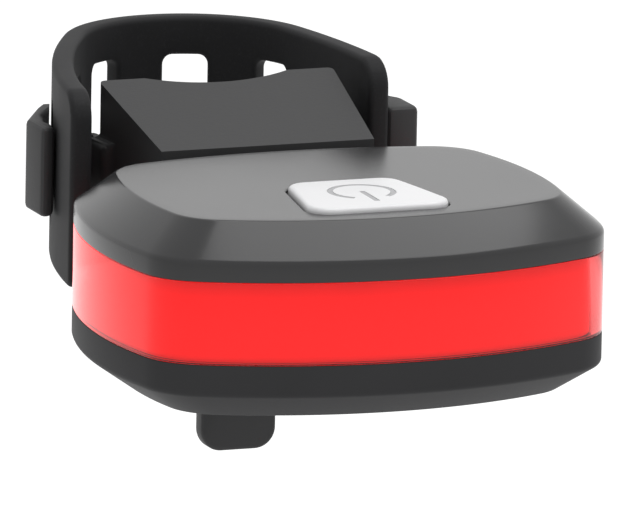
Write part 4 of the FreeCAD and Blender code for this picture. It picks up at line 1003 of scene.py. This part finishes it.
def spread_tree(name, numbers, place):
    """Geometry nodes that repeat a small mesh.

    Place is a function that gives each copy's position and turn from its order in the row.
    """
    tree, given = new_tree(name, ("Count",) + numbers)
    order = wire_from(tree, "GeometryNodeInputIndex")
    position, turn = place(given["Count"], order, *[given[label] for label in numbers])
    row = wire_from(tree, "GeometryNodeMeshLine", None, {"Count": given["Count"]})
    angles = wire_from(tree, "ShaderNodeCombineXYZ", None, {"Z": turn})
    copies = wire_from(tree, "GeometryNodeInstanceOnPoints", None, {
        "Points": moved_points(tree, given, row, position), "Instance": given["Geometry"],
        "Rotation": wire_from(tree, "FunctionNodeEulerToRotation", None, {"Euler": angles})})
    return end_tree(tree, given, copies)


def on_corners(count, order, across, along):
    """Two columns of copies, the left one first, each from back to front."""
    right = order.above(1.5)
    front = order - right * 2.0
    return ((right - 0.5) * across, (0.5 - front) * along, 0.0), 0.0


def on_arc(count, order, radius, step):
    """Copies along an arc that bulges forward, each turned with it."""
    angle = (order - (count - 1.0) / 2.0) * step
    return (angle.sine() * radius, angle.cosine() * radius * -1.0, 0.0), angle


def make_screws(context):
    """Pan-headed screws with a cross recess, heads down, at the corners of a rectangle."""
    low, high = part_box("housing_screws")
    tall = high.z - low.z
    shank, head_height, tip = 0.8 * MM, 1.1 * MM, 1.0 * MM
    head_round, under_round = 0.3 * MM, 0.1 * MM
    arm, slot, recess_depth, recess_taper = 0.75 * MM, 0.18 * MM, 0.45 * MM, 0.8
    flat, point = arm * 1.5, shank * 0.3
    cross = []
    for x, y in ((1, 0), (0, 1), (-1, 0), (0, -1)):
        cross += [(x * arm + y * slot, y * arm - x * slot), (x * arm - y * slot, y * arm + x * slot),
                  (x * slot - y * slot, y * slot + x * slot)]
    former = Former()
    recess = [former.ring([(x * size, y * size, depth) for x, y in cross])
              for size, depth in ((1.0, 0.0), (recess_taper, recess_depth))]
    former.loft(recess)
    former.fill(recess[1])
    profile = rounded([
        (flat, 0.0, 0), (SCREW_HEAD, 0.0, head_round), (SCREW_HEAD, head_height, under_round),
        (shank, head_height, 0), (shank, tall - tip, 0), (point, tall, 0)], steps=4)
    rings = [former.ring([(x, y, rise) for x, y in circle(0, 0, radius, steps=28)]) for radius, rise in profile]
    former.fill(rings[0], recess[0])
    former.loft(rings)
    former.fill(rings[-1])
    piece = former.finish("cover_screws", "screw_zinc")
    middle = (low + high) / 2
    across, along = high.x - low.x - 2 * SCREW_HEAD, high.y - low.y - 2 * SCREW_HEAD
    grown_by_nodes(piece, spread_tree("spread_on_corners", ("Across", "Along"), on_corners), {
        "Count": 4, "Across": across, "Along": along, "Centre": (middle.x, middle.y, low.z)})
    dress(piece, "light_body", "screw_steel", "housing_screws")


def make_chips(context):
    """Square light chips with a domed face, in a row that follows the front."""
    sizes = context.scene.light_housing
    low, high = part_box("led_chips")
    wide, tall, deep = 2.6 * MM, high.z - low.z, 0.7 * MM
    count, pitch, radius = 7, 3.9 * MM, sizes.front_radius - 4.1 * MM
    rim, dome, dome_top, corner, corner_growth = 0.1 * MM, 0.45 * MM, 0.7 * MM, 0.12 * MM, 0.8
    slope_start, slope_end = deep * 0.7, deep * 0.8
    profile = [(0.0, 0.0), (0.0, slope_start), (rim, slope_end), (dome, slope_end), (dome_top, deep)]
    former = Former()
    rings = []
    for inset, rise in profile:
        across, up = wide / 2 - inset, tall / 2 - inset
        face = rounded_polygon(rectangle(-across, across, -up, up), corner + inset * corner_growth, steps=4)
        rings.append(former.ring([(x, deep - rise, z) for x, z in face]))
    former.loft(rings)
    former.fill(rings[0])
    former.fill(rings[-1])
    piece = former.finish("light_chips", "chip_phosphor")
    origin = light_origin(sizes)
    centre = (origin.x, origin.y + sizes.front_radius - sizes.front_depth, (low.z + high.z) / 2)
    grown_by_nodes(piece, spread_tree("spread_on_arc", ("Radius", "Step"), on_arc), {
        "Count": count, "Radius": radius, "Step": pitch / radius, "Centre": centre})
    dress(piece, "light_body", "chip_resin", "led_chips")


def make_inside(context):
    finishes = {
        "led_frame": "frame_white", "led_strip": "board_lacquer", "circuit_board": "board_lacquer",
        "control_chip": "chip_resin", "switch_body": "chip_resin", "switch_plunger": "frame_white",
        "battery_cell": "battery_foil", "battery_foam": "foam_pores", "charging_socket": "socket_plating",
        "upper_seal": "seal_grain", "lower_seal": "seal_grain",
    }
    for node, finish in finishes.items():
        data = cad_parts[node].data
        data.materials.clear()
        data.materials.append(finish_of(finish))


def make_finishes(context):
    colours = context.scene.light_colours
    band_low, band_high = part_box("diffuser")
    lens_low, lens_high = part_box("lens")
    moulded("cover_grain", colours.cover, roughness=0.18, grain_depth=0.0025 * MM, gloss=0.36)
    # The lower cover and rear wall use the covers' colour made 1.5 times lighter: the added lightness is
    # painted light on the lower faces, which are also less glossy.
    moulded("lower_grain_painted_lighter", tinted(colours.cover, 1.5), roughness=0.5, grain_depth=0.006 * MM, gloss=0.06)
    moulded("bracket_grain", colours.bracket, roughness=0.55, gloss=0.3)
    rubber("strap_grain", colours.rubber)
    rubber("seal_grain", (0.05, 0.05, 0.05))
    clear_plastic("clear_plastic", colours.lens, lens_low.y, lens_high.y)
    glowing_band("glowing_red", colours.glow, band_high.z, band_low.z)
    moulded("button_white", colours.button, roughness=0.3, grain_depth=0.004 * MM)
    moulded("sign_paint", colours.sign, roughness=0.5)
    moulded("frame_white", (0.75, 0.75, 0.75), roughness=0.4)
    board_finish("board_lacquer")
    moulded("chip_phosphor", (0.8, 0.62, 0.2), roughness=0.35)
    moulded("chip_resin", (0.02, 0.02, 0.022), roughness=0.5)
    brushed_metal("battery_foil", (0.7, 0.7, 0.72), roughness=0.35)
    moulded("foam_pores", (0.08, 0.08, 0.09), roughness=0.8, grain=900.0, grain_depth=0.1 * MM)
    brushed_metal("socket_plating", (0.72, 0.72, 0.74), roughness=0.28)
    brushed_metal("screw_zinc", (0.45, 0.45, 0.47), roughness=0.35)


def finish_of(name):
    return bpy.data.materials[name]


def seen_directly(tree):
    """1 for what the camera sees, straight or in a mirror or through glass, and 0 for other light."""
    path = add_node(tree, "ShaderNodeLightPath")
    seen = Wire(tree, path.outputs["Is Camera Ray"])
    for ray in ("Is Glossy Ray", "Is Transmission Ray"):
        seen = seen.largest(Wire(tree, path.outputs[ray]))
    return seen


def make_world(context):
    """Even white all round, which lights the pieces less than it shows."""
    world = bpy.data.worlds.new("studio_white")
    tree = bare_tree(world)
    lighting = 0.62
    strength = seen_directly(tree).between(lighting, 1.0)
    back = wire_from(tree, "ShaderNodeBackground", None, {"Color": WHITE, "Strength": strength})
    add_node(tree, "ShaderNodeOutputWorld", None, {"Surface": back})
    context.scene.world = world


def make_floor(context):
    """A pale floor well below the light, seen as white with its shadow, and clear from below."""
    grey, added_light, below, reach = (0.8, 0.8, 0.8, 1.0), 0.45, 90 * MM, 12.0
    material = bpy.data.materials.new("floor_white")
    tree = bare_tree(material)
    matt = wire_from(tree, "ShaderNodeBsdfDiffuse", None, {"Color": grey})
    strength = seen_directly(tree) * added_light
    glow = wire_from(tree, "ShaderNodeEmission", None, {"Color": WHITE, "Strength": strength})
    pale = wire_from(tree, "ShaderNodeAddShader", None, {0: matt, 1: glow})
    clear = wire_from(tree, "ShaderNodeBsdfTransparent")
    from_below = wire_from(tree, "ShaderNodeNewGeometry", output="Backfacing")
    chosen = wire_from(tree, "ShaderNodeMixShader", None, {0: from_below, 1: pale, 2: clear})
    add_node(tree, "ShaderNodeOutputMaterial", None, {"Surface": chosen})
    low = CAD_BOX[0].z - below
    mesh = bmesh.new()
    corners = [mesh.verts.new((x, y, low)) for x, y in rectangle(-reach, reach, -reach, reach)]
    mesh.faces.new(corners)
    floor = finished_object(mesh, "floor", material)


def make_lamp(name, place, target, size, power):
    """A square soft light that faces a target."""
    data = bpy.data.lights.new(name, "AREA")
    data.shape = "SQUARE"
    data.size = size
    data.energy = power
    lamp = bpy.data.objects.new(name, data)
    lamp.location = place
    lamp.rotation_mode = "QUATERNION"
    lamp.rotation_quaternion = (target - place).to_track_quat("-Z", "Y")
    bpy.context.scene.collection.objects.link(lamp)


def make_camera(context):
    """A long lens from the front left, a little above, with a slight roll."""
    sizes = context.scene.light_housing
    azimuth, rise, roll = math.radians(-21.1), math.radians(12.2), math.radians(1.1)
    image_width, image_height, pixels_per_mm = 634, 505, 10.0
    origin_pixel = (286.5, 155.6)
    distance, sensor_width = 2.0, 36.0
    back = Vector((math.sin(azimuth) * math.cos(rise), -math.cos(azimuth) * math.cos(rise), math.sin(rise)))
    level_right = Vector((math.cos(azimuth), math.sin(azimuth), 0.0))
    level_up = back.cross(level_right)
    right = level_right * math.cos(roll) + level_up * math.sin(roll)
    up = level_up * math.cos(roll) - level_right * math.sin(roll)
    across = (image_width / 2 - origin_pixel[0]) / pixels_per_mm * MM
    down = (image_height / 2 - origin_pixel[1]) / pixels_per_mm * MM
    target = light_origin(sizes) + right * across - up * down
    data = bpy.data.cameras.new("camera")
    data.sensor_width = sensor_width
    data.lens = sensor_width * distance * pixels_per_mm / MM / image_width
    data.clip_start, data.clip_end = 0.5, 100.0
    camera = bpy.data.objects.new("camera", data)
    camera.matrix_world = Matrix((right, up, back)).transposed().to_4x4()
    camera.location = target + back * distance
    context.scene.collection.objects.link(camera)
    context.scene.camera = camera


def make_stage(context):
    make_world(context)
    make_floor(context)
    middle = light_origin(context.scene.light_housing)
    right_above, size, power = Vector((0.2, -0.05, 0.7)), 0.6, 3.0
    make_lamp("top_softbox", middle + right_above, middle, size, power)
    make_camera(context)
    context.scene.view_settings.view_transform = "Standard"


# Operators and panel

class TAILLIGHT_OT_finishes(bpy.types.Operator):
    """Make the materials"""
    bl_idname = "taillight.finishes"
    bl_label = "Make finishes"

    def execute(self, context):
        make_finishes(context)
        return {"FINISHED"}


class TAILLIGHT_OT_top_cover(bpy.types.Operator):
    """Build the upper shell"""
    bl_idname = "taillight.top_cover"
    bl_label = "Make top cover"

    def execute(self, context):
        make_top_cover(context)
        return {"FINISHED"}


class TAILLIGHT_OT_bottom_cover(bpy.types.Operator):
    """Build the lower shell and the rear wall"""
    bl_idname = "taillight.bottom_cover"
    bl_label = "Make bottom cover"

    def execute(self, context):
        make_bottom_cover(context)
        return {"FINISHED"}


class TAILLIGHT_OT_lens(bpy.types.Operator):
    """Build the clear band"""
    bl_idname = "taillight.lens"
    bl_label = "Make lens"

    def execute(self, context):
        make_lens(context)
        return {"FINISHED"}


class TAILLIGHT_OT_diffuser(bpy.types.Operator):
    """Build the glowing band"""
    bl_idname = "taillight.diffuser"
    bl_label = "Make red band"

    def execute(self, context):
        make_diffuser(context)
        return {"FINISHED"}


class TAILLIGHT_OT_button(bpy.types.Operator):
    """Build the button and its standby sign"""
    bl_idname = "taillight.button"
    bl_label = "Make button"

    def execute(self, context):
        make_button(context)
        return {"FINISHED"}


class TAILLIGHT_OT_strap(bpy.types.Operator):
    """Build the rubber strap"""
    bl_idname = "taillight.strap"
    bl_label = "Make strap"

    def execute(self, context):
        make_strap(context)
        return {"FINISHED"}


class TAILLIGHT_OT_bracket(bpy.types.Operator):
    """Build the bracket, its hooks and the pad that touches the post"""
    bl_idname = "taillight.bracket"
    bl_label = "Make bracket"

    def execute(self, context):
        make_bracket(context)
        return {"FINISHED"}


class TAILLIGHT_OT_clip(bpy.types.Operator):
    """Build the clip that joins light and bracket"""
    bl_idname = "taillight.clip"
    bl_label = "Make clip"

    def execute(self, context):
        make_clip(context)
        return {"FINISHED"}


class TAILLIGHT_OT_flap(bpy.types.Operator):
    """Build the flap over the charging socket"""
    bl_idname = "taillight.flap"
    bl_label = "Make charging flap"

    def execute(self, context):
        make_flap(context)
        return {"FINISHED"}


class TAILLIGHT_OT_screws(bpy.types.Operator):
    """Build the four screws that hold the covers together"""
    bl_idname = "taillight.screws"
    bl_label = "Make screws"

    def execute(self, context):
        make_screws(context)
        return {"FINISHED"}


class TAILLIGHT_OT_chips(bpy.types.Operator):
    """Build the row of chips behind the red band"""
    bl_idname = "taillight.chips"
    bl_label = "Make light chips"

    def execute(self, context):
        make_chips(context)
        return {"FINISHED"}


class TAILLIGHT_OT_inside(bpy.types.Operator):
    """Give the other inner pieces their finishes"""
    bl_idname = "taillight.inside"
    bl_label = "Dress the inside"

    def execute(self, context):
        make_inside(context)
        return {"FINISHED"}


class TAILLIGHT_OT_stage(bpy.types.Operator):
    """Set up floor, lights and camera"""
    bl_idname = "taillight.stage"
    bl_label = "Make stage"

    def execute(self, context):
        make_stage(context)
        return {"FINISHED"}


OPERATORS = [
    TAILLIGHT_OT_finishes, TAILLIGHT_OT_top_cover, TAILLIGHT_OT_bottom_cover, TAILLIGHT_OT_lens,
    TAILLIGHT_OT_diffuser, TAILLIGHT_OT_button, TAILLIGHT_OT_strap, TAILLIGHT_OT_bracket,
    TAILLIGHT_OT_clip, TAILLIGHT_OT_flap, TAILLIGHT_OT_screws, TAILLIGHT_OT_chips,
    TAILLIGHT_OT_inside, TAILLIGHT_OT_stage,
]


class TAILLIGHT_PT_panel(bpy.types.Panel):
    bl_label = "Tail light"
    bl_space_type = "VIEW_3D"
    bl_region_type = "UI"
    bl_category = "Tail light"

    def draw(self, context):
        for operator in OPERATORS:
            self.layout.operator(operator.bl_idname)


GROUPS = {"light_housing": HousingSizes, "light_button": ButtonSizes, "light_strap": StrapSizes,
          "light_colours": Colours}


def register():
    for name, group in GROUPS.items():
        bpy.utils.register_class(group)
        setattr(bpy.types.Scene, name, PointerProperty(type=group))
    for operator in OPERATORS:
        bpy.utils.register_class(operator)
    bpy.utils.register_class(TAILLIGHT_PT_panel)


def unregister():
    bpy.utils.unregister_class(TAILLIGHT_PT_panel)
    for operator in reversed(OPERATORS):
        bpy.utils.unregister_class(operator)
    for name, group in GROUPS.items():
        delattr(bpy.types.Scene, name)
        bpy.utils.unregister_class(group)


def main():
    register()
    for operator in OPERATORS:
        getattr(bpy.ops.taillight, operator.bl_idname.partition(".")[2])()


if __name__ == "__main__":
    main()
